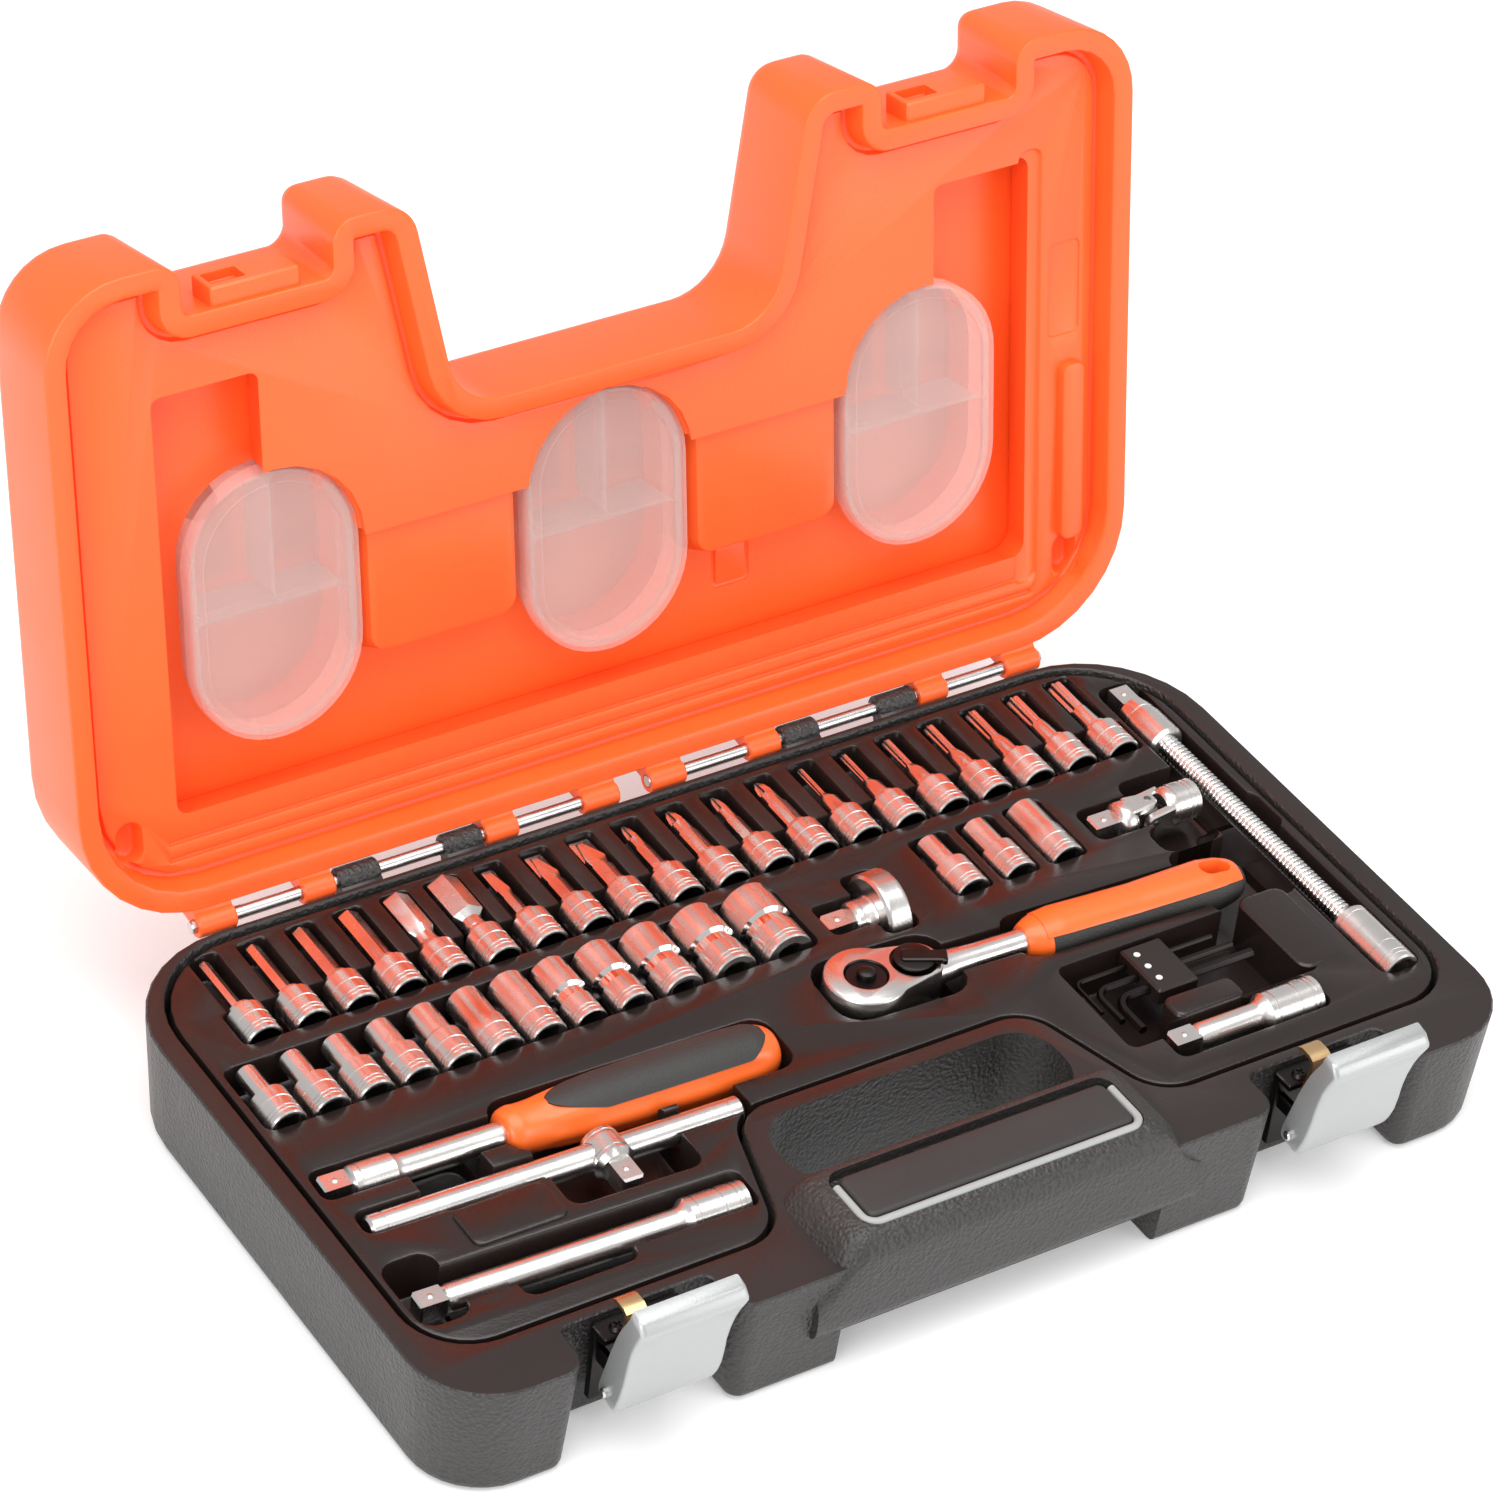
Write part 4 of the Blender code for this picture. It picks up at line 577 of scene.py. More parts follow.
LATCH_SILVER = moulded("latch_silver", (0.38, 0.39, 0.39), (0.46, 0.47, 0.47), 0.4, 0.0005, 0.00004, 0.2)
LATCH_SILVER.node_tree.nodes["Principled BSDF"].inputs["Metallic"].default_value = 0.6
# Black oxide for the latch brackets, screws, keys and ratchet parts; also painted shade inside the bit
# sockets' square holes.
BLACK_OXIDE_AND_HOLE_SHADE = metal("black_oxide_and_hole_shade", (0.022, 0.02, 0.02), (0.05, 0.045, 0.043), 0.35)
HOOK_BRASS = metal("hook_plating", (0.6, 0.4, 0.2), (0.75, 0.52, 0.27), 0.28)
PIN_Y, PIN_Z = -96 * MM, 24 * MM
LEVER_LEAN = math.radians(11)      # how far the shut lever leans out
HOOK_SHARE = -0.85                 # the hook's turn against the lever's
HOOK_PIN = Vector((0, -92.5 * MM, 23 * MM))


def block(x0, x1, y0, y1, z0, z1, edge=0.4):
    """A box with chamfered edges, in millimetres."""
    return layered(four(x0, x1, y0, y1, edge), [(edge * MM, z0 * MM), (0, (z0 + edge) * MM),
                                                (0, (z1 - edge) * MM), (edge * MM, z1 * MM)], 2)


def screw_tree():
    """A cross-head screw on every point: a turned head with a cross sunk in it."""
    tree = bpy.data.node_groups.new("screws", "GeometryNodeTree")
    for label, way, kind in (("Points", "INPUT", "Geometry"), ("Head Radius", "INPUT", "Float"),
                             ("Head Height", "INPUT", "Float"), ("Surface", "INPUT", "Material"),
                             ("Screws", "OUTPUT", "Geometry")):
        tree.interface.new_socket(label, in_out=way, socket_type="NodeSocket" + kind)
    given, out = tree.nodes.new("NodeGroupInput"), tree.nodes.new("NodeGroupOutput")
    head = node(tree, "GeometryNodeMeshCone", {"Vertices": 24, "Side Segments": 2},
                {"Radius Bottom": given.outputs["Head Radius"], "Depth": given.outputs["Head Height"]})
    narrow, long_side, thin_side = (
        node(tree, "ShaderNodeMath", {1: share}, {0: given.outputs["Head Radius"]}, operation="MULTIPLY")
        for share in (0.72, 1.15, 0.28))
    tree.links.new(narrow.outputs[0], head.inputs["Radius Top"])
    sizes = [node(tree, "ShaderNodeCombineXYZ", {}, {"X": a.outputs[0], "Y": b.outputs[0],
                                                     "Z": given.outputs["Head Height"]})
             for a, b in ((long_side, thin_side), (thin_side, long_side))]
    slots = [node(tree, "GeometryNodeMeshCube", {}, {"Size": size.outputs[0]}) for size in sizes]
    cross = node(tree, "GeometryNodeJoinGeometry")
    for slot_cut in slots:
        tree.links.new(slot_cut.outputs["Mesh"], cross.inputs[0])
    lift = node(tree, "ShaderNodeCombineXYZ", {}, {"Z": given.outputs["Head Height"]})
    raised = node(tree, "GeometryNodeTransform", {}, {"Geometry": cross.outputs[0],
                                                      "Translation": lift.outputs[0]})
    cut_cross = node(tree, "GeometryNodeMeshBoolean", {},
                     {"Mesh 1": head.outputs["Mesh"], "Mesh 2": raised.outputs[0]}, operation="DIFFERENCE",
                     solver="EXACT")
    cut_cross.inputs["Self Intersection"].default_value = True
    placed = node(tree, "GeometryNodeInstanceOnPoints", {"Rotation": (0, 0, 0.5)},
                  {"Points": given.outputs["Points"], "Instance": cut_cross.outputs["Mesh"]})
    real = node(tree, "GeometryNodeRealizeInstances", {}, {"Geometry": placed.outputs[0]})
    painted = node(tree, "GeometryNodeSetMaterial", {}, {"Geometry": real.outputs[0],
                                                         "Material": given.outputs["Surface"]})
    tree.links.new(painted.outputs[0], out.inputs[0])
    return tree


SCREWS = screw_tree()


def grown(name, points, tree, values):
    """A plain mesh made by a geometry tree from a set of points."""
    data = bpy.data.meshes.new(name)
    data.from_pydata(points, [], [])
    made = bpy.data.objects.new(name, data)
    bpy.context.scene.collection.objects.link(made)
    change = made.modifiers.new("grow", "NODES")
    change.node_group = tree
    for item in tree.interface.items_tree:
        if item.in_out == "INPUT" and item.name in values:
            change[item.identifier] = values[item.name]
    graph = bpy.context.evaluated_depsgraph_get()
    result = bpy.data.meshes.new_from_object(made.evaluated_get(graph))
    made.modifiers.clear()
    made.data = result
    result.name = name
    result.shade_smooth()
    result.set_sharp_from_angle(angle=math.radians(30))
    return made


def lever_ring(z, front, width, depth, corner):
    """One level of the lever: a rounded front with two sides running back."""
    half = width / 2
    back = (front + depth) * MM
    corners = both_sides([(half * MM, front * MM, corner * MM), (half * MM, back, 0.6 * MM)])
    return [(p.x, p.y, z * MM) for p in outline(corners, 5)]


for name, side in (("left", -1), ("right", 1)):
    x = side * LATCH_X
    shut = [(-5.7, -2.0, 27.0, 6), (-5.5, -2.9, 28.4, 7), (-5.0, -3.7, 29.6, 7.6), (-4.0, -4.6, 30.6, 8.4),
            (-2.4, -5.3, 31.4, 9.2), (0, -5.9, 31.8, 9.8),
            (4, -6.4, 31.8, 10), (9, -6.4, 31.4, 9.8), (14, -6.0, 31.2, 9.2), (19, -5.9, 31.6, 8.4),
            (24, -6.2, 32.2, 7.8), (28, -6.9, 32.7, 7.4),
            (31.4, -7.8, 33, 7.2), (33.6, -8.4, 33, 7.2), (34.2, -8.2, 33, 7.0), (36.0, -6.3, 32.6, 5.0),
            (36.6, -5.4, 31.8, 4.2)]
    body = loft([lever_ring(z, y, w, d, 1.6) for z, y, w, d in shut])
    lever = finish_mesh("latch_handle_" + name, body, LATCH_SILVER, 40)
    hollow = loft([lever_ring(z, y + 1.9, w - 3.2, d + 4, 0.8) for z, y, w,
                   d in [(-7, -1.6, 28.4, 6), (-5, -3.2, 28.6, 7.6)] + shut[3:13]])
    boolean(lever, [hollow], angle=40)
    swing = Matrix.Translation((x, PIN_Y, PIN_Z)) @ Matrix.Rotation(LEVER_LEAN, 4, "X")
    lever.data.transform(swing)
    belongs(lever, "latch_lever_" + name, "latch", "latch_lever_" + name)

    pin = finish_mesh("latch_rivet_" + name, moved(turned([(-17.3, 1.0), (-16.9, 1.5), (16.9, 1.5), (17.3,
            1.0)], 24), (x, PIN_Y, PIN_Z)), BRIGHT_STEEL)
    belongs(pin, "case_base", "steel", "latch_pin_" + name)

    half = 13.4
    plate = finish_mesh("latch_plate_" + name, block(-half, half, -84.9, -82.4, 10, 36), BLACK_OXIDE_AND_HOLE_SHADE)
    lugs = [block(lo, hi, -96, -83, 23.3, 28.4, 0.5) for lo, hi in ((-12, -9.6), (9.6, 12))]
    lugs += [moved(turned([(lo, 2.6), (lo + 0.4, 3), (hi - 0.4, 3), (hi, 2.6)], 24),
                   (0, PIN_Y, PIN_Z)) for lo, hi in ((-12.1, -9.5), (9.5, 12.1))]
    boolean(plate, [block(-half, half, -89.8, -83, 33.6, 36)] + lugs, "UNION")
    boolean(plate, [block(-3.5, 3.5, -92, -88.4, 33, 37)])
    plate.data.transform(Matrix.Translation((x, 0, 0)))
    screws = grown("latch_screws_" + name, [(x - 8 * MM, -87 * MM, 36.2 * MM),
                                            (x + 8 * MM, -87 * MM, 36.2 * MM)], SCREWS,
                   {"Head Radius": 2.3 * MM, "Head Height": 1.0 * MM, "Surface": BLACK_OXIDE_AND_HOLE_SHADE})
    belongs(plate, "case_base", "black_steel", "latch_bracket_" + name)
    belongs(screws, "case_base", "black_steel")

    hook_path = [(-92.4, 23), (-92.5, 36), (-92.6, 43.5), (-92.1, 45.2), (-90.8, 45.9), (-87.4, 45.9),
                 (-86.2, 45.2)]
    rings = []
    for i, (y, z) in enumerate(hook_path):
        before, after = hook_path[max(i - 1, 0)], hook_path[min(i + 1, len(hook_path) - 1)]
        ahead = Vector((after[0] - before[0], after[1] - before[1])).normalized()
        side_way = Vector((-ahead.y, ahead.x)) * 0.65
        width = 4.6 if i < 2 else 3.2
        rings.append([((sx * width - 6.6) * MM, (y + sy * side_way.x) * MM, (z + sy * side_way.y) * MM)
                      for sx, sy in ((-1, -1), (1, -1), (1, 1), (-1, 1))])
    hook = finish_mesh("latch_hook_plate_" + name, loft(rings), HOOK_BRASS)
    rod = turned([(-9.3, 0.7), (-9, 1), (9, 1), (9.3, 0.7)], 20)
    coil_points = [Vector(((1 + 6 * k / 48) * MM, (-92.5 + 2.1 * math.cos(math.tau * k / 12)) * MM,
                           (23 + 2.1 * math.sin(math.tau * k / 12)) * MM)) for k in range(49)]
    boolean(hook, [moved(rod, HOOK_PIN)], "UNION")
    spring = tube(coil_points, 0.38 * MM, HOOK_BRASS, "latch_spring_" + name, 8)
    reach = (swing @ Matrix.Translation((0, 3.5 * MM, -1 * MM))
             @ Matrix.Rotation(HOOK_SHARE * LEVER_LEAN, 4, "X") @ Matrix.Translation(-HOOK_PIN))
    for made in (hook, spring):
        made.data.transform(reach)
    belongs(hook, "latch_hook_" + name, "brass", "latch_hook_" + name)
    belongs(spring, "latch_hook_" + name, "brass")

# ---------------------------------------------------------------- lid
# One orange moulding: rounded outside, flat rim, and inside it a liner panel with deep
# pockets, a seat for each organizer, ribs and a small blank plaque.

ORANGE = moulded("orange_plastic", (0.96, 0.105, 0.014), (1.0, 0.13, 0.02), 0.36, 0.0007, 0.00004)
LID_Z = 38.4 * MM
LID_OPEN = math.radians(-101)
HINGE = Matrix.Translation((0, HINGE_Y, HINGE_Z))
OPEN = HINGE @ Matrix.Rotation(LID_OPEN, 4, "X") @ HINGE.inverted()
ORGANIZER_W, ORGANIZER_L = 50, 80
lid_corners = both_sides([(51.5 * MM, -33 * MM, 17 * MM), (64 * MM, FRONT_Y, 11 * MM)] + case_corners[:6])


def quarter_in(radius, top, count):
    """Levels of a quarter round that ends at the top."""
    return [(radius * (1 - math.cos(math.pi / 2 * k / count)),
             top - radius + radius * math.sin(math.pi / 2 * k / count))
            for k in range(count + 1)]


lid_lean = math.tan(math.radians(3))
lid_levels = [(0.5 * MM, LID_Z), (0.1 * MM, LID_Z + 0.3 * MM), (0, LID_Z + 0.8 * MM)]
lid_levels += [(d + lid_lean * (z - LID_Z), z) for d, z in quarter_in(6.5 * MM, LID_Z + 37 * MM, 5)]
lid = finish_mesh("lid", layered(lid_corners, lid_levels, 8), ORANGE)


def sunk(corners, depth, mouth=0.0, lip=1.0, foot=1.5, slope=1.6):
    """A recess in the lid's inside, from one depth down to another, in millimetres."""
    z0 = LID_Z + mouth * MM
    levels = [(-lip * MM, z0 - 8 * MM), (-lip * MM, z0), (-0.35 * lip * MM, z0 + 0.3 * lip * MM),
              (0, z0 + lip * MM)]
    levels += [(slope * MM, LID_Z + (depth - foot) * MM),
               ((slope + 0.35 * foot) * MM, LID_Z + (depth - 0.35 * foot) * MM),
               ((slope + foot) * MM, LID_Z + depth * MM)]
    return layered(corners, levels, 6)


def area(points, radius=4.0):
    """Corners in millimetres from (x, distance from the hinge) points, with one radius."""
    return [(x * MM, (HINGE_Y / MM - u) * MM, (r[0] if r else radius) * MM) for x, u, *r in points]


def plot(x0, x1, u0, u1, outer, inner=None):
    """A rectangle in the lid. Its corners away from the hinge have the outer radius, the others
    the inner one."""
    inner = outer if inner is None else inner
    return area([(x1, u1, outer), (x1, u0, inner), (x0, u0, inner), (x0, u1, outer)])


def slot_shape(x, u, width, length, grow=0.0):
    """A slot with round ends, about a middle."""
    half, reach = width / 2 + grow, length / 2 + grow
    radius = half - 0.05
    return plot(x - half, x + half, u - reach, u + reach, radius)


def raised(corners, depth, root, edge=1.0, slope=1.2):
    """A raised panel in a recess: from its root depth up to a nearer depth."""
    return layered(corners, [(edge * MM, LID_Z + depth * MM),
                             (0.3 * edge * MM, LID_Z + (depth + 0.3 * edge) * MM),
                             (0, LID_Z + (depth + edge) * MM),
                             (-slope * MM, LID_Z + root * MM), (-slope * MM, LID_Z + (root + 2) * MM)], 5)


ORGANIZERS = ((-107, 87), (0, 83), (107, 87))
PANEL = 6.2     # depth of the main inside face below the rim, clear of the tools when shut
boolean(lid, [sunk(inset(lid_corners, 6.9 * MM), PANEL + 2, 0, 1.4, 0.8, 0.5)])
boolean(lid, [raised(inset(lid_corners, 9.6 * MM), PANEL, PANEL + 2.2, 0.9, 0.4)], "UNION")
main_area = area([(144, 31, 5), (-144, 31, 5), (-144, 161, 4), (-109, 161, 4), (-109, 103, 5), (109, 103, 5),
                  (109, 161, 4), (144, 161, 4)][::-1])
recesses = [sunk(main_area, 19.5, PANEL, 1.2, 2.0, 1.6)]
recesses += [sunk(slot_shape(x, u, ORGANIZER_W, ORGANIZER_L, 1.6), 19.5, PANEL, 0.8, 1.0, 0.3) for x,
             u in ORGANIZERS]
boolean(lid, recesses)
panels = []
for side in (-1, 1):
    lo, hi = sorted((side * 78, side * 30))
    panels.append(raised(plot(lo, hi, 62, 104, 3, 6), 9, 20, 1.6, 3.0))
boolean(lid, panels, "UNION")
details = [sunk(slot_shape(x, u, ORGANIZER_W, ORGANIZER_L, 1.6), 19.5, 8.0, 0.8, 1.0, 0.3) for x,
           u in ORGANIZERS]
details += [sunk(slot_shape(x, u, ORGANIZER_W - 1, ORGANIZER_L - 1, 0.4), 30.5, 19.0, 0.4, 1.0, 0.6) for x,
            u in ORGANIZERS]
details += [sunk(plot(140, 148, 22, 163, 3), PANEL + 1.2, PANEL, 0.4, 0.4, 0.4)]
details += [sunk(slot_shape(side * 158, 28, 8, 13), PANEL + 5, PANEL, 0.8, 1, 0.6) for side in (-1, 1)]
details += [sunk(plot(-146, 146, u - 0.8, u + 0.8, 0.6), PANEL + 1, PANEL, 0.3, 0.3, 0.2) for u in (18.7, 24)]
details += [sunk(plot(41, 54, 44, 58, 2), 20.0, 19.3, 0.2, 0.2, 0.1)]
details += [sunk(plot(151, 162, 101, 131, 2), PANEL + 0.6, PANEL, 0.2, 0.2, 0.1)]
boolean(lid, details)
ribs = [raised(plot(155, 163, 34, 92, 3), PANEL - 2.8, PANEL + 2, 1.0, 0.3),
        raised(plot(42.4, 52.6, 45.4, 56.6, 1), 19.3, 20.5, 0.2, 0.1)]
catches = []
for side in (-1, 1):
    x = side * LATCH_X / MM
    catches.append(layered(four(x - 13.5, x + 13.5, -87.5, -79, 0.8),
                           [(0.6 * MM, LID_Z + 1.6 * MM), (0, LID_Z + 2.2 * MM), (0, LID_Z + 12.5 * MM),
                            (0.8 * MM, LID_Z + 13.3 * MM)], 3))
boolean(lid, ribs + catches, "UNION")
windows = []
for side in (-1, 1):
    x = side * LATCH_X / MM
    windows.append(block(x - 12, x - 1.5, -90, -84.5, LID_Z / MM + 4, LID_Z / MM + 11, 0.3))
boolean(lid, windows)
lid_knuckles = [knuckle(side, span, 1, 8) for side in (-1, 1) for span in ((131, 143), (99.5, 109.5),
                                                                           (39.5, 50), (5.5, 17.3))]
boolean(lid, lid_knuckles, "UNION")
boolean(lid, [pin_bore()])
lid.data.transform(OPEN)
belongs(lid, "lid", "orange", "lid_shell", "lid_liner")

# ---------------------------------------------------------------- organizers
# Thin frosted boxes in the lid, each with one wide and two narrow compartments and a snap-on
# cover with a raised edge.


def frosted(name, tint, clearness, roughness):
    """Thin frosted plastic, seen through in part, and less so at a shallow angle."""
    paler = [min(1, c + 0.06) for c in tint]
    made, tree, sockets, _ = grained(name, tint, paler, 0.0009, 0.02, 0.00002)
    sockets["Roughness"].default_value = roughness
    edge = node(tree, "ShaderNodeLayerWeight", {"Blend": 0.35})
    veil = node(tree, "ShaderNodeMapRange", {"From Min": 0.0, "From Max": 1.0, "To Min": clearness,
                                             "To Max": 0.62}, {"Value": edge.outputs["Facing"]})
    tree.links.new(veil.outputs["Result"], sockets["Alpha"])
    return made


FROSTED = frosted("frosted_plastic", (0.94, 0.66, 0.6), 0.11, 0.22)
for i, (x, u) in enumerate(ORGANIZERS):
    y, mouth = HINGE_Y / MM - u, LID_Z / MM + 10

    def cell(x0, x1, y0, y1, radii, floor=18.6):
        corners = [(cx * MM, cy * MM, r * MM) for (cx, cy),
                   r in zip(((x1, y0), (x1, y1), (x0, y1), (x0, y0)), radii)]
        return layered(corners, [(0, -3 * MM), (0, (floor - 2) * MM), (0.6 * MM, (floor - 0.6) * MM),
                                 (2 * MM, floor * MM)], 8)

    wall, half, end = 1.2, ORGANIZER_W / 2, ORGANIZER_L / 2
    shape = four(-half, half, -end, end, half - 0.1)
    box_body = layered(shape, [(0, 0), (0.2 * MM, 17 * MM), (0.8 * MM, 19.4 * MM), (2 * MM, 20 * MM)], 10)
    box_piece = finish_mesh("organizer_tub_%d" % (i + 1), box_body, FROSTED)
    r = half - wall - 0.1
    boolean(box_piece, [cell(-half + wall, half - wall, 0.6, end - wall, (2, r, r, 2)),
                        cell(0.6, half - wall, -end + wall, -0.6, (r - 3, 2, 2, 2)),
                        cell(-half + wall, -0.6, -end + wall, -0.6, (2, 2, 2, r - 3))])
    cover_body = layered(inset(shape, -1.5 * MM), [(1.6 * MM, -1.9 * MM), (0.6 * MM, -1.7 * MM),
                                                   (0, -1.2 * MM), (0, 3.6 * MM), (0.3 * MM, 4 * MM)], 10)
    cover = finish_mesh("organizer_lid_%d" % (i + 1), cover_body, FROSTED)
    boolean(cover, [layered(inset(shape, -0.4 * MM), [(0, -0.5 * MM), (0, 6 * MM)], 10),
                    layered(inset(shape, 3.2 * MM), [(-0.4 * MM, -3 * MM), (-0.4 * MM, -1.6 * MM),
                                                     (0, -1.3 * MM)], 10)])
    for made, body, cad in ((box_piece, "organizer_%d", "organizer_box_%d"),
                            (cover, "organizer_lid_%d", "organizer_cover_%d")):
        made.data.transform(OPEN @ Matrix.Translation((x * MM, y * MM, mouth * MM)))
        belongs(made, body % (i + 1), "frosted", cad % (i + 1))

# ---------------------------------------------------------------- sockets
# Satin chrome sockets with turned grooves and a rolled band near the drive end. The larger
# ones have a polished waist; all have a chamfered square hole and a six-sided nose.

SATIN_CHROME = metal("satin_chrome", (0.68, 0.65, 0.63), (0.8, 0.77, 0.75), 0.25, 0.0005, 0.000012)
POLISHED = metal("polished_chrome", (0.8, 0.79, 0.78), (0.86, 0.85, 0.84), 0.1, 0.0005, 0.000002)
# Dark steel for the cross pins of the universal joint; also painted shade inside the sockets' holes.
DARK_STEEL_AND_HOLE_SHADE = metal("dark_steel_and_hole_shade", (0.16, 0.15, 0.145), (0.26, 0.25, 0.24), 0.34)
SQUARE, SQUARE_HOLE = 6.35, 6.55


def paint(made, surface, test):
    """Gives the faces that pass a test, on their middle in millimetres and normal, a second surface."""
    made.data.materials.append(surface)
    index = len(made.data.materials) - 1
    for face in made.data.polygons:
        if test(face.center / MM, face.normal):
            face.material_index = index


def groove(x, radius, width=0.6, depth=0.28):
    return [(x - width / 2, radius), (x - width / 2 + 0.15, radius - depth),
            (x + width / 2 - 0.15, radius - depth), (x + width / 2, radius)]


def drive_end(radius, depth=8.0):
    """The drive end of a socket: square hole, chamfer, two grooves and a rolled band."""
    return ([(depth, ("square", SQUARE_HOLE)), (0.9, ("square", SQUARE_HOLE)), (0.0, 4.95),
             (0.0, radius - 0.45), (0.45, radius)]
            + groove(1.9, radius) + groove(3.3, radius) + [(4.2, radius)] + band(4.4, 6.2, radius,
                                                                                 3) + [(6.4, radius)])


def socket_piece(name, radius, nose, hole, length=25.0, waist=False):
    """A socket along +X from its drive end: its nose and hole fit one size of nut."""
    front = radius - 0.7 if waist else radius
    sections = drive_end(front)
    if waist:
        sections += [(9.0, front), (9.5, front - 0.5), (12.4, front - 0.5), (13.2, radius),
                     (length - 0.5, radius), (length, radius - 0.5)]
        nose = radius
    else:
        sections += groove(7.4, radius, 0.5, 0.2) + [(12.0, radius), (13.4, nose), (length - 0.5, nose),
                                                     (length, nose - 0.4)]
    sections += [(length, ("hex", hole + 0.9)), (length - 0.5, ("hex", hole)), (length - 9, ("hex", hole))]
    made = finish_mesh(name, turned(sections, 48, (4.3, 6.3, 0.11)), SATIN_CHROME, 28)
    if waist:
        paint(made, POLISHED, lambda p, n: 9.1 < p.x < 13.1 and math.hypot(p.y, p.z) > front - 2)
    # The insides of the square hole and of the six-sided hole at the nose are painted dark: painted shade in
    # the holes.
    paint(made, DARK_STEEL_AND_HOLE_SHADE, lambda p, n: math.hypot(p.y,
            p.z) < (4.4 if p.x < 8.6 else nose - 0.3) and 0.9 < p.x and not 8.6 < p.x < length - 9.3)
    return made


def set_down(made, where, turn=0.0):
    """Lays a tool in its pocket, at a point in millimetres, turned by some degrees."""
    made.data.transform(Matrix.Translation(Vector(where) * MM) @ Matrix.Rotation(math.radians(turn), 4, "Z"))
    return made


SOCKET_Z = 35
x = -158.0
last = None
for size in (4, 4.5, 5, 5.5, 6, 7, 8, 9, 10, 11, 12, 13):
    wide = max(11.8, 1.28 * size + 0.4)
    x += (last + wide) / 2 + 1.85 if last else 0
    last = wide
    label = ("%g" % size).replace(".", "_")
    made = socket_piece("socket_" + label, wide / 2, min(1.45 * size + 0.6, wide) / 2, size, 25, size >= 9)
    set_down(made, (x, 20, SOCKET_Z), 90)
    belongs(made, "hex_socket_" + label, "chrome", "hex_socket_" + label)
for i, (size, x) in enumerate(zip((4.7, 5.5, 7.3), (65.8, 82.3, 98.9))):
    made = set_down(socket_piece("lobed_socket_%d" % (i + 1), 5.9, (1.3 * size + 1.6) / 2, size),
                    (x, 20, SOCKET_Z), 90)
    belongs(made, "star_socket_%d" % (i + 1), "chrome", "star_socket_%d" % (i + 1))

# ---------------------------------------------------------------- bit sockets
# Twenty short sockets with a screwdriver or key bit pressed in: six hexagon keys, three flat
# blades, four cross tips and seven six-lobed tips, smallest first.


def bit_sections(kind, size):
    shank = [(11.9, 5.9), (12.9, 4.7), (13.4, 4.2), (14.4, 4.1), (14.6, 3.6)]
    if kind == "hex" and size < 7:
        return shank[:-1] + [(14.6, size / 2 + 0.5), (15.0, ("hex", size)), (35.7, ("hex", size)),
                             (36.5, ("hex", size - 0.8))]
    if kind == "hex":
        return shank[:-1] + [(15.6, 3.4), (19, 3.3), (21, ("hex", size)), (35.6, ("hex", size)),
                             (36.5, ("hex", size - 1.2))]
    if kind == "flat":
        return shank + [(15.2, ("hex", size * 0.95)), (23, ("hex", size * 0.95)), (24, size * 0.45),
                        (27, ("flat", size, size * 0.6)),
                        (35.5, ("flat", size, 1.0)), (36.5, ("flat", size - 0.3, 0.8))]
    if kind == "cross":
        return shank + [(15.2, ("hex", size)), (25, ("hex", size)), (26, size * 0.48), (30, size * 0.46),
                        (31, ("cross", size * 0.9, size * 0.4)),
                        (34, ("cross", size * 0.66, size * 0.3)), (36.5, ("cross", size * 0.25, size * 0.2))]
    return shank[:-1] + [(14.8, 3.2), (20, 3.0), (23, size / 2 + 0.2), (24, ("lobes", size)),
                         (36.0, ("lobes", size)), (36.5, ("lobes", size - 0.4))]


BITS = [("hex", 3), ("hex", 4), ("hex", 5), ("hex", 6), ("hex", 8), ("hex", 9.6), ("flat", 4), ("flat", 5.5),
        ("flat", 6.5),
        ("cross", 4.5), ("cross", 6), ("cross", 4.5), ("cross", 6), ("lobes", 2.3), ("lobes", 2.7),
        ("lobes", 3.3),
        ("lobes", 3.9), ("lobes", 4.4), ("lobes", 5.0), ("lobes", 5.5)]
for i, (kind, size) in enumerate(BITS):
    sections = drive_end(5.9) + groove(7.4, 5.9, 0.5, 0.2) + bit_sections(kind, size)
    made = finish_mesh("bit_socket_%d" % (i + 1), turned(sections, 48, (4.3, 6.3, 0.11)), SATIN_CHROME, 28)
    # The square hole and its chamfer are painted black: painted shade in the hole.
    paint(made, BLACK_OXIDE_AND_HOLE_SHADE, lambda p, n: math.hypot(p.y,
            p.z) < 4.5 and 0.5 < p.x < 9 or p.x < 0.9 and math.hypot(p.y, p.z) < 4.9)
    set_down(made, (bit_x[i], 53.5, SOCKET_Z), 90)
    belongs(made, "case_base", "chrome")

# ---------------------------------------------------------------- extensions and flexible shaft
# Square tip with its spring ball, round bar, and a grooved boss with a square hole. The
# flexible one has a close-wound coil between two crimped ends.


def ball(x, height=3.1, radius=1.0):
    """The spring ball that stands a little out of a square tip."""
    dome = [(height - 0.3, radius)] + [(height + 0.55 * math.sin(math.radians(a)),
                                        radius * math.cos(math.radians(a)) + 0.02) for a in (0, 25, 50, 75,
                                                                                             88)]
    return moved(moved(turned(dome, 20), turn=-math.pi / 2, axis="Y"), (x * MM, 0, 0))


def square_tip(shoulder):
    return [(0, ("square", SQUARE - 1.1)), (0.7, ("square", SQUARE)), (7.6, ("square", SQUARE)),
            (8.2, ("square", SQUARE - 0.1))] + shoulder


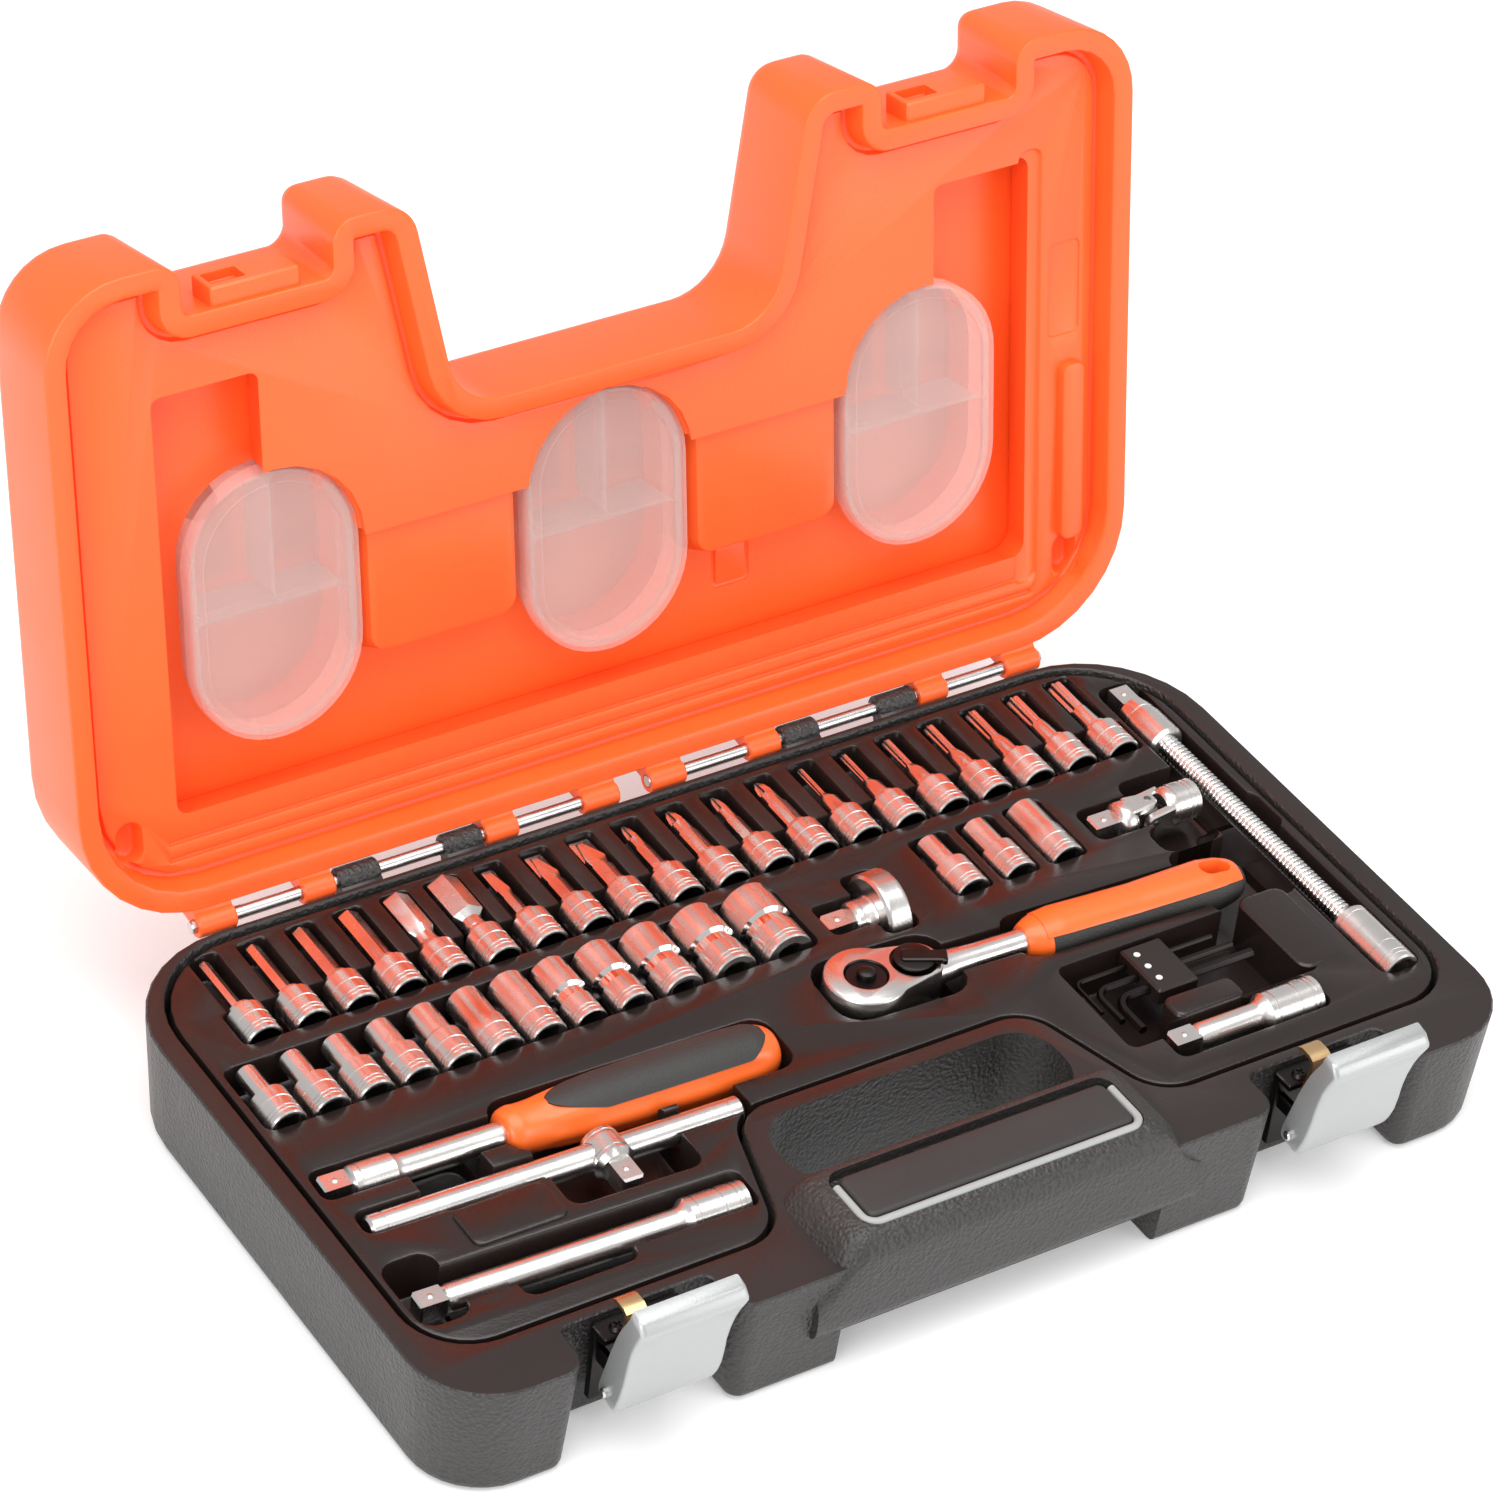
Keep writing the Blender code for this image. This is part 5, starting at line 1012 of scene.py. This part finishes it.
def boss(end, length, radius):
    """A grooved boss with a rolled band and a square hole at its end."""
    start = end - length
    return ([(start, radius - 1.7), (start + 1.6, radius - 0.3), (start + 2.0, radius)] + groove(start + 4,
                                                                                                 radius)
            + groove(end - 8.2, radius) + [(end - 7.4, radius)] + band(end - 7.2, end - 5.0, radius,
                                                                       3) + [(end - 4.8, radius)]
            + groove(end - 3.8, radius) + groove(end - 2.2, radius)
            + [(end - 0.5, radius), (end, radius - 0.5), (end, 4.9), (end - 0.9, ("square", SQUARE_HOLE)),
               (end - 10, ("square", SQUARE_HOLE))])


def bar_piece(name, sections, wave=None, angle=30):
    return finish_mesh(name, gathered([turned(sections, 48, wave), ball(4.2)]), SATIN_CHROME, angle)


for name, length, where, turn in (("extension_100", 100, (*EXTENSION_AT, 32), EXTENSION_TURN),
                                  ("extension_50", 50, (78.5, -60.4, 35), 0)):
    sections = square_tip([(8.6, 3.7), (10, 4.1)]) + [(length - 21.5, 4.1)] + boss(length, 20, 6.1)
    made = bar_piece(name + "_bar", sections, (length - 7.3, length - 4.9, 0.12))
    belongs(set_down(made, where, turn), name, "chrome", name)

FLEX = (157.5, 79.5, 35)
made = bar_piece("flex_tip", square_tip([(8.4, 4.3), (9, 4.9), (12, 5.4)]) + groove(13.5, 5.5) + [(16, 5.9),
        (26.4, 5.9), (27.6, 5.2), (28, 4.2)])
belongs(set_down(made, FLEX, -90), "flex_extension", "chrome", "flex_drive_end")
made = finish_mesh("flex_boss", turned([(116.1, 4.2)] + boss(143, 26.7, 6.1), 48, (135.7, 138.1, 0.12)),
                   SATIN_CHROME, 30)
belongs(set_down(made, FLEX, -90), "flex_extension", "chrome", "flex_socket_end")
turns = 54
coil = [Vector(((27 + 90.0 * k / (turns * 14)) * MM, 2.95 * MM * math.cos(math.tau * k / 14),
                2.95 * MM * math.sin(math.tau * k / 14)))
        for k in range(turns * 14 + 1)]
rings = []
for k, point in enumerate(coil):
    out = Vector((0, point.y, point.z)).normalized()
    along = Vector((1, 0, 0))
    rings.append([point + 0.74 * MM * (out * math.cos(math.tau * j / 7) + along * math.sin(math.tau * j / 7))
                  for j in range(7)])
made = finish_mesh("flex_coil", gathered([loft(rings), turned([(27, 2.7), (117, 2.7)], 16)]), POLISHED, 60)
belongs(set_down(made, FLEX, -90), "flex_extension", "chrome", "flex_shaft")

# ---------------------------------------------------------------- universal joint
# Two forged forks at right angles on a small cross with riveted pins.

UJ = Vector((113, 28.6, 35))
CENTRE = 19.5


def fork_arm(way, root, side):
    """One arm of a fork: a plate with a rounded end, on either side of the cross."""
    tip = CENTRE - way * 2.6
    corners = [(tip, -2.5, 2.3), (tip, 2.5, 2.3), (root, 4.0, 0.8), (root, -4.0, 0.8)]
    if way > 0:
        corners = corners[::-1]
    corners = [(a * MM, b * MM, r * MM) for a, b, r in corners]
    low, high = (3.2, 5.7) if side > 0 else (-5.7, -3.2)
    return layered(corners, [(0.3 * MM, low * MM), (0, (low + 0.3) * MM), (0, (high - 0.5) * MM),
                             (0.5 * MM, high * MM)], 6)


drive = gathered([turned(square_tip([(8.4, 4.6), (9.2, 5.6), (9.8, 6.0)]) + [(12.6, 6.0), (13.6, 5.6),
                                                                             (14.2, 4.8)], 48), ball(4.2)]
                 + [fork_arm(-1, 12.2, side) for side in (-1, 1)])
made = finish_mesh("uj_tip_fork", drive, SATIN_CHROME, 35)
belongs(set_down(made, UJ), "universal_joint", "chrome", "uj_drive_yoke")
cup = turned([(24.8, 4.8), (25.4, 5.6), (26.4, 6.0)] + groove(28, 6.05) + band(29.2, 31.4, 6.05,
        3) + groove(32.6, 6.05) + groove(34.2, 6.05) + [
    (36.0, 6.05), (36.5, 5.6), (36.5, 4.9), (35.6, ("square", SQUARE_HOLE)), (27.5, ("square", SQUARE_HOLE))],
    48, (29.1, 31.5, 0.12))
arms = [moved(fork_arm(1, 26.8, side), turn=math.pi / 2, axis="X") for side in (-1, 1)]
made = finish_mesh("uj_cup_fork", gathered([cup] + arms), SATIN_CHROME, 35)
belongs(set_down(made, UJ), "uj_socket", "chrome", "uj_socket_yoke")
core = [layered(four(-2.9, 2.9, -2.9, 2.9, 0.8),
                [(0.5 * MM, -2.9 * MM), (0, -2.4 * MM), (0, 2.4 * MM), (0.5 * MM, 2.9 * MM)], 3)]
for axis in ("Z", "Y"):
    pin = turned([(-5.9, 0.6), (-5.75, 1.1), (-5.5, 1.4), (5.5, 1.4), (5.75, 1.1), (5.9, 0.6)], 20)
    core.append(moved(pin, turn=math.pi / 2, axis=axis))
made = finish_mesh("uj_pins", gathered(core), DARK_STEEL_AND_HOLE_SHADE, 35)
belongs(set_down(made, UJ + Vector((CENTRE, 0, 0))), "uj_cross", "steel", "uj_cross")

# ---------------------------------------------------------------- spinner disc
# A knurled finger wheel on a short square-tipped spindle.

disc = turned(square_tip([(8.6, 5.2), (9.4, 5.9)]) + groove(11, 6.0) + [(14.4, 6.0), (15, 6.4), (15, 11.3),
        (15.6, 12.2)] + band(15.9, 22.1, 12.3, 8) + [
    (22.4, 12.2), (23, 11.4), (23, 10.2), (22.2, 9.4), (22.2, 6.4), (23, 5.8), (23, 4.9),
    (22.2, ("square", SQUARE_HOLE)), (16, ("square", SQUARE_HOLE))], 96, (15.8, 22.2, 0.18))
made = finish_mesh("finger_wheel", gathered([disc, ball(4.2)]), SATIN_CHROME, 30)
belongs(set_down(made, (19, 27, 33)), "spinner_disc", "chrome", "spinner_disc")

# ---------------------------------------------------------------- ratchet
# Teardrop head with a round release button and a black reversing lever, a tapered neck, and
# a black rubber grip with an orange back that ends in a hanging hole.

RATCHET = Vector((*RATCHET_AT, 35.2))


def teardrop(shrink):
    points = []
    for k in range(41):
        angle = math.radians(50 + 260 * k / 40)
        points.append(((12.3 - shrink) * math.cos(angle), (12.3 - shrink) * math.sin(angle)))
    for k in range(25):
        angle = math.radians(-50 + 100 * k / 24)
        points.append((15.5 + (8.5 - shrink) * math.cos(angle), (8.5 - shrink) * math.sin(angle)))
    return points


def upright(sections, x=0.0, steps=48):
    """A turned body standing up at x on the tool's axis."""
    return moved(moved(turned(sections, steps), turn=-math.pi / 2, axis="Y"), (x * MM, 0, 0))


head = loft([[(a * MM, b * MM, z * MM) for a, b in teardrop(d)] for d, z in (
    (1.1, -5.7), (0.4, -5.4), (0, -4.8), (0, 4.7), (0.3, 5.3), (0.9, 5.7))])
made = finish_mesh("ratchet_head", head, SATIN_CHROME, 30)
neck_rings = []
for x, wide, high in ((15, 4.6, 4.2), (22, 5.6, 4.5), (25, 5.2, 4.3), (29, 4.5, 4.0), (36, 4.1, 3.8),
                      (48, 4.0, 3.9), (52, 4.1, 4.1), (60, 4.1, 4.1)):
    neck_rings.append([(x * MM, wide * MM * math.cos(math.tau * k / 32),
                        high * MM * math.sin(math.tau * k / 32)) for k in range(32)])
boolean(made, [loft(neck_rings)], "UNION")
boolean(made, [upright([(4.3, 6.2), (5.2, 6.2), (6.0, 6.8)]),
               upright([(5.0, 6.7), (5.4, 6.9), (6.4, 7.2)], 15.5),
               upright([(-8, 7.1), (1.6, 7.1)])], surface=BLACK_OXIDE_AND_HOLE_SHADE)
belongs(set_down(made, RATCHET, RATCHET_TURN), "ratchet", "chrome", "ratchet_body")
made = finish_mesh("ratchet_cover", upright([(4.4, 3.1), (4.4, 6.1), (5.0, 6.1), (5.2, 5.8), (5.0, 3.3)]),
                   BLACK_OXIDE_AND_HOLE_SHADE, 30)
belongs(set_down(made, RATCHET, RATCHET_TURN), "ratchet", "black_steel")
made = finish_mesh("release_button", upright([(3.5, 2.8), (6.0, 2.8), (6.9, 2.5), (7.3, 1.8), (7.5, 0.8)]),
                   BLACK_OXIDE_AND_HOLE_SHADE, 40)
belongs(set_down(made, RATCHET, RATCHET_TURN), "ratchet_release_button", "black_steel",
        "ratchet_release_button")
made = finish_mesh("square_drive", upright([(-13.5, ("square", SQUARE - 1)), (-12.8, ("square", SQUARE)),
                                            (-4.8, ("square", SQUARE)),
                                            (-4.7, 7.0), (1.5, 7.0)]), SATIN_CHROME, 30)
belongs(set_down(made, RATCHET, RATCHET_TURN), "ratchet_drive", "steel", "ratchet_drive")
tail = [(-4 * MM, -2.6 * MM, 1.2 * MM), (7.6 * MM, -2.2 * MM, 1.0 * MM), (9.4 * MM, -3.4 * MM, 0.8 * MM),
        (9.4 * MM, 3.4 * MM, 0.8 * MM),
        (7.6 * MM, 2.2 * MM, 1.0 * MM), (-4 * MM, 2.6 * MM, 1.2 * MM)]
lever = [upright([(6.1, 5.6), (6.3, 6.0), (7.0, 6.0), (7.3, 5.4)]), upright([(2.0, 1.8), (7.0, 1.8)]),
         layered(tail, [(0.2 * MM, 6.3 * MM), (0, 6.5 * MM), (0, 7.8 * MM), (0.5 * MM, 8.1 * MM)], 4),
         upright([(7.0, 2.0), (7.7, 2.0), (7.9, 1.6)])]
made = finish_mesh("reversing_lever", gathered(lever), BLACK_OXIDE_AND_HOLE_SHADE, 30)
at = RATCHET + Matrix.Rotation(math.radians(RATCHET_TURN), 3, "Z") @ Vector((15.5, 0, 0))
belongs(set_down(made, at, RATCHET_TURN - 25), "ratchet_reverse_lever", "black_steel",
        "ratchet_reverse_lever")

RUBBER = moulded("handle_rubber", (0.02, 0.019, 0.018), (0.035, 0.033, 0.031), 0.55, 0.0007, 0.00009)
HANDLE_ORANGE = moulded("handle_orange", (0.86, 0.12, 0.014), (0.94, 0.16, 0.022), 0.33, 0.0007, 0.00002, 0.2)


def oval(sections, steps=48, shape=None, finer=3):
    """A handle along +X: sections of (x, half width, half height), eased between."""
    rings = []
    count = len(sections)
    for i in range(count - 1):
        p0, p1, p2, p3 = (Vector(sections[max(min(i + j, count - 1), 0)]) for j in (-1, 0, 1, 2))
        for k in range(finer + (1 if i == count - 2 else 0)):
            t = k / finer
            p = p1 + (p2 - p0) * 0.5 * t + (p0 - 2.5 * p1 + 2 * p2 - 0.5 * p3) * t * t + (-0.5 * p0
                    + 1.5 * p1 - 1.5 * p2 + 0.5 * p3) * t ** 3
            ring = []
            for j in range(steps):
                angle = math.tau * j / steps
                extra = shape(p.x, angle) if shape else 0
                ring.append((p.x * MM, (p.y + extra) * MM * math.cos(angle),
                             (p.z + extra) * MM * math.sin(angle)))
            rings.append(ring)
    return loft(rings)


def inlay(sections, start, end, half, lift, depth=1.6, count=56, steps=14):
    """A strip let into a handle's back: half(x) is its half angle in degrees."""
    curve = [Vector(section) for section in sections]

    def girth(x):
        for a, b in zip(curve, curve[1:]):
            if x <= b.x:
                return a.lerp(b, (x - a.x) / (b.x - a.x))
        return curve[-1]

    rings = []
    for k in range(count + 1):
        x = start + (end - start) * k / count
        size, reach = girth(x), half(x)
        outer = [math.radians(90 - reach + 2 * reach * j / steps) for j in range(steps + 1)]
        edge = [1 - max(0, abs(2 * j / steps - 1) - 0.85) for j in range(steps + 1)]
        ring = [(x * MM, (size.y + lift * e) * MM * math.cos(a),
                 (size.z + lift * e) * MM * math.sin(a)) for a, e in zip(outer, edge)]
        ring += [(x * MM, (size.y - depth) * MM * math.cos(a),
                  (size.z - depth) * MM * math.sin(a)) for a in reversed(outer)]
        rings.append(ring)
    return loft(rings)


grip_sections = [(52, 4.9, 4.9), (53.5, 5.9, 5.6), (57, 7.4, 6.6), (63, 8.0, 7.2), (75, 7.6, 7.0),
                 (90, 7.3, 6.8), (105, 8.0, 7.2), (114, 8.3, 7.4),
                 (120, 7.6, 6.6), (124, 6.2, 5.2), (126.4, 3.8, 3.4), (127, 2.2, 2.0)]
made = finish_mesh("ratchet_handle", oval(grip_sections, 60), RUBBER, 50)
paint(made, HANDLE_ORANGE, lambda p, n: p.x < 58.6)
back = inlay(grip_sections, 57, 124.5, lambda x: 56 - 0.16 * abs(x - 88) if x < 118 else 50, 0.4)
boolean(made, [back], "UNION", HANDLE_ORANGE, 40)
hole = four(112.6, 121.6, -2.3, 2.3, 2.2)
boolean(made, [layered(hole, [(0, -9 * MM), (0, 5.6 * MM), (-0.5 * MM, 6.6 * MM), (-1.2 * MM, 9 * MM)], 6)],
        surface=HANDLE_ORANGE)
belongs(set_down(made, RATCHET, RATCHET_TURN), "ratchet", "rubber", "ratchet_grip")

# ---------------------------------------------------------------- spinner
# A screwdriver handle in orange with a black rubber panel let into its back.

SPINNER = (*SPINNER_AT, 34.5)
made = bar_piece("spinner_bar", square_tip([(8.6, 4.4), (9.2, 5.0)]) + groove(11, 5.1) + [(21.5, 5.1),
        (22.6, 4.4), (24, 4.1), (67, 4.1)])
belongs(set_down(made, SPINNER, SPINNER_TURN), "spinner", "chrome", "spinner_shaft")


def panel(x):
    """Half angle of the rubber panel: pointed at the front, rounded at the back."""
    ahead, behind = min(1, max(0.03, (x - 68) / 16)), min(1, max(0.03, (137 - x) / 7))
    return 54 * math.sqrt(ahead) * math.sqrt(behind)


handle_sections = [(55, 6.2, 6.2), (56, 7.1, 7.1), (58.5, 7.7, 7.7), (61, 7.5, 7.5), (66, 7.6, 7.6),
                   (74, 8.3, 8.3), (84, 8.9, 8.9), (98, 9.3, 9.3),
                   (112, 9.4, 9.4), (124, 9.2, 9.2), (133, 8.8, 8.8), (137.5, 7.8, 7.8), (140, 6.2, 6.2),
                   (141, 4.6, 4.6)]
made = finish_mesh("spinner_grip", oval(handle_sections, 64, lambda x,
                                        a: 0.22 * math.cos(8 * a) - 0.3 if 66 < x < 134 else -0.2),
                                        HANDLE_ORANGE, 60)
boolean(made, [inlay(handle_sections, 68.5, 136.5, panel, 0.3, 2.4)], "UNION", RUBBER, 45)
belongs(set_down(made, SPINNER, SPINNER_TURN), "spinner", "orange", "spinner_handle")

# ---------------------------------------------------------------- T bar
# A plain bar with chamfered ends, and a sliding head with a rolled band and a square tip.

TBAR = (*TBAR_AT, 34)
made = finish_mesh("sliding_bar", turned([(0, 3.3), (0.8, 4.1)] + groove(4.5, 4.1, 0.8, 0.2) + groove(110.5,
        4.1, 0.8, 0.2) + [(114.2, 4.1), (115, 3.3)], 32), SATIN_CHROME, 30)
belongs(set_down(made, TBAR, TBAR_TURN), "t_bar", "chrome", "t_bar")
head = turned([(-5.3, 4.9), (-4.8, 5.7)] + groove(-3.4, 5.9) + band(-2.4, 2.0, 6.1, 6) + groove(3.2,
        6.1) + [(4.6, 6.1), (5.6, 5.2), (6.3, 4.7),
              (6.4, ("square", SQUARE)), (14.3, ("square", SQUARE)), (15, ("square", SQUARE - 1.1))], 48,
              (-2.5, 2.1, 0.12))
made = finish_mesh("sliding_head", gathered([head, ball(10.6)]), SATIN_CHROME, 30)
made.data.transform(Matrix.Rotation(-math.pi / 2, 4, "Z"))
made.data.transform(Matrix.Translation((73 * MM, 0, 0)))
boolean(made, [turned([(60, 4.2), (86, 4.2)], 32)])
belongs(set_down(made, TBAR, TBAR_TURN), "t_bar_head", "chrome", "t_bar_head")

# ---------------------------------------------------------------- hexagon keys
# Three black L keys pushed through a moulded holder with a white dot beside each.

WHITE_DOT = moulded("white_mark", (0.6, 0.6, 0.58), (0.7, 0.7, 0.68), 0.5, 0.0006, 0.00001)
KEY_SIZES = (1.27, 2.0, 2.5)
KEY_Y, KEY_PITCH, KEY_Z = -25, 5.5, 34
for i, size in enumerate(KEY_SIZES):
    radius, bend = size / 2 / math.cos(math.pi / 6), 2.2 * size
    path = [((48, 0), (-1, 0)), ((30, 0), (-1, 0))]
    for k in range(13):
        angle = math.radians(90 * k / 12)
        path.append(((bend - bend * math.sin(angle), -bend + bend * math.cos(angle)),
                     (-math.cos(angle), -math.sin(angle))))
    path.append(((0, -14), (0, -1)))
    rings = []
    for (px, py), (ax, ay) in path:
        across = Vector((ay, -ax, 0))
        rings.append([(Vector((px, py, 0)) + across * radius * math.cos(math.tau * k / 6) + Vector((0, 0,
                radius)) * math.sin(math.tau * k / 6)) * MM
                      for k in range(6)])
    made = finish_mesh("l_key_%d" % (i + 1), loft(rings), BLACK_OXIDE_AND_HOLE_SHADE, 35)
    belongs(set_down(made, (70 + i * 3.2, KEY_Y - i * KEY_PITCH, KEY_Z)), "hex_key_%d" % (i + 1),
            "black_steel", "hex_key_%d" % (i + 1))
holder_low, holder_high = (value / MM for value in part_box("hex_key_holder"))
made = finish_mesh("key_holder", block(holder_low[0], holder_high[0], holder_low[1], holder_high[1],
                                       holder_low[2], holder_high[2], 0.7), TRAY_BLACK)
boolean(made, [moved(turned([(-20, ("hex", size + 0.2)), (40, ("hex", size + 0.2))], 24),
                     (holder_low[0] * MM, (KEY_Y - i * KEY_PITCH) * MM, KEY_Z * MM))
               for i, size in enumerate(KEY_SIZES)])
belongs(made, "hex_key_holder", "tray", "hex_key_holder")
dots = [moved(upright([(0, 1.0), (0.12, 1.0)], 0, 24), ((holder_low[0] + 3.4) * MM,
        (KEY_Y - i * KEY_PITCH) * MM, holder_high[2] * MM)) for i in range(3)]
made = finish_mesh("key_marks", gathered(dots), WHITE_DOT)
belongs(made, "hex_key_holder", "tray")
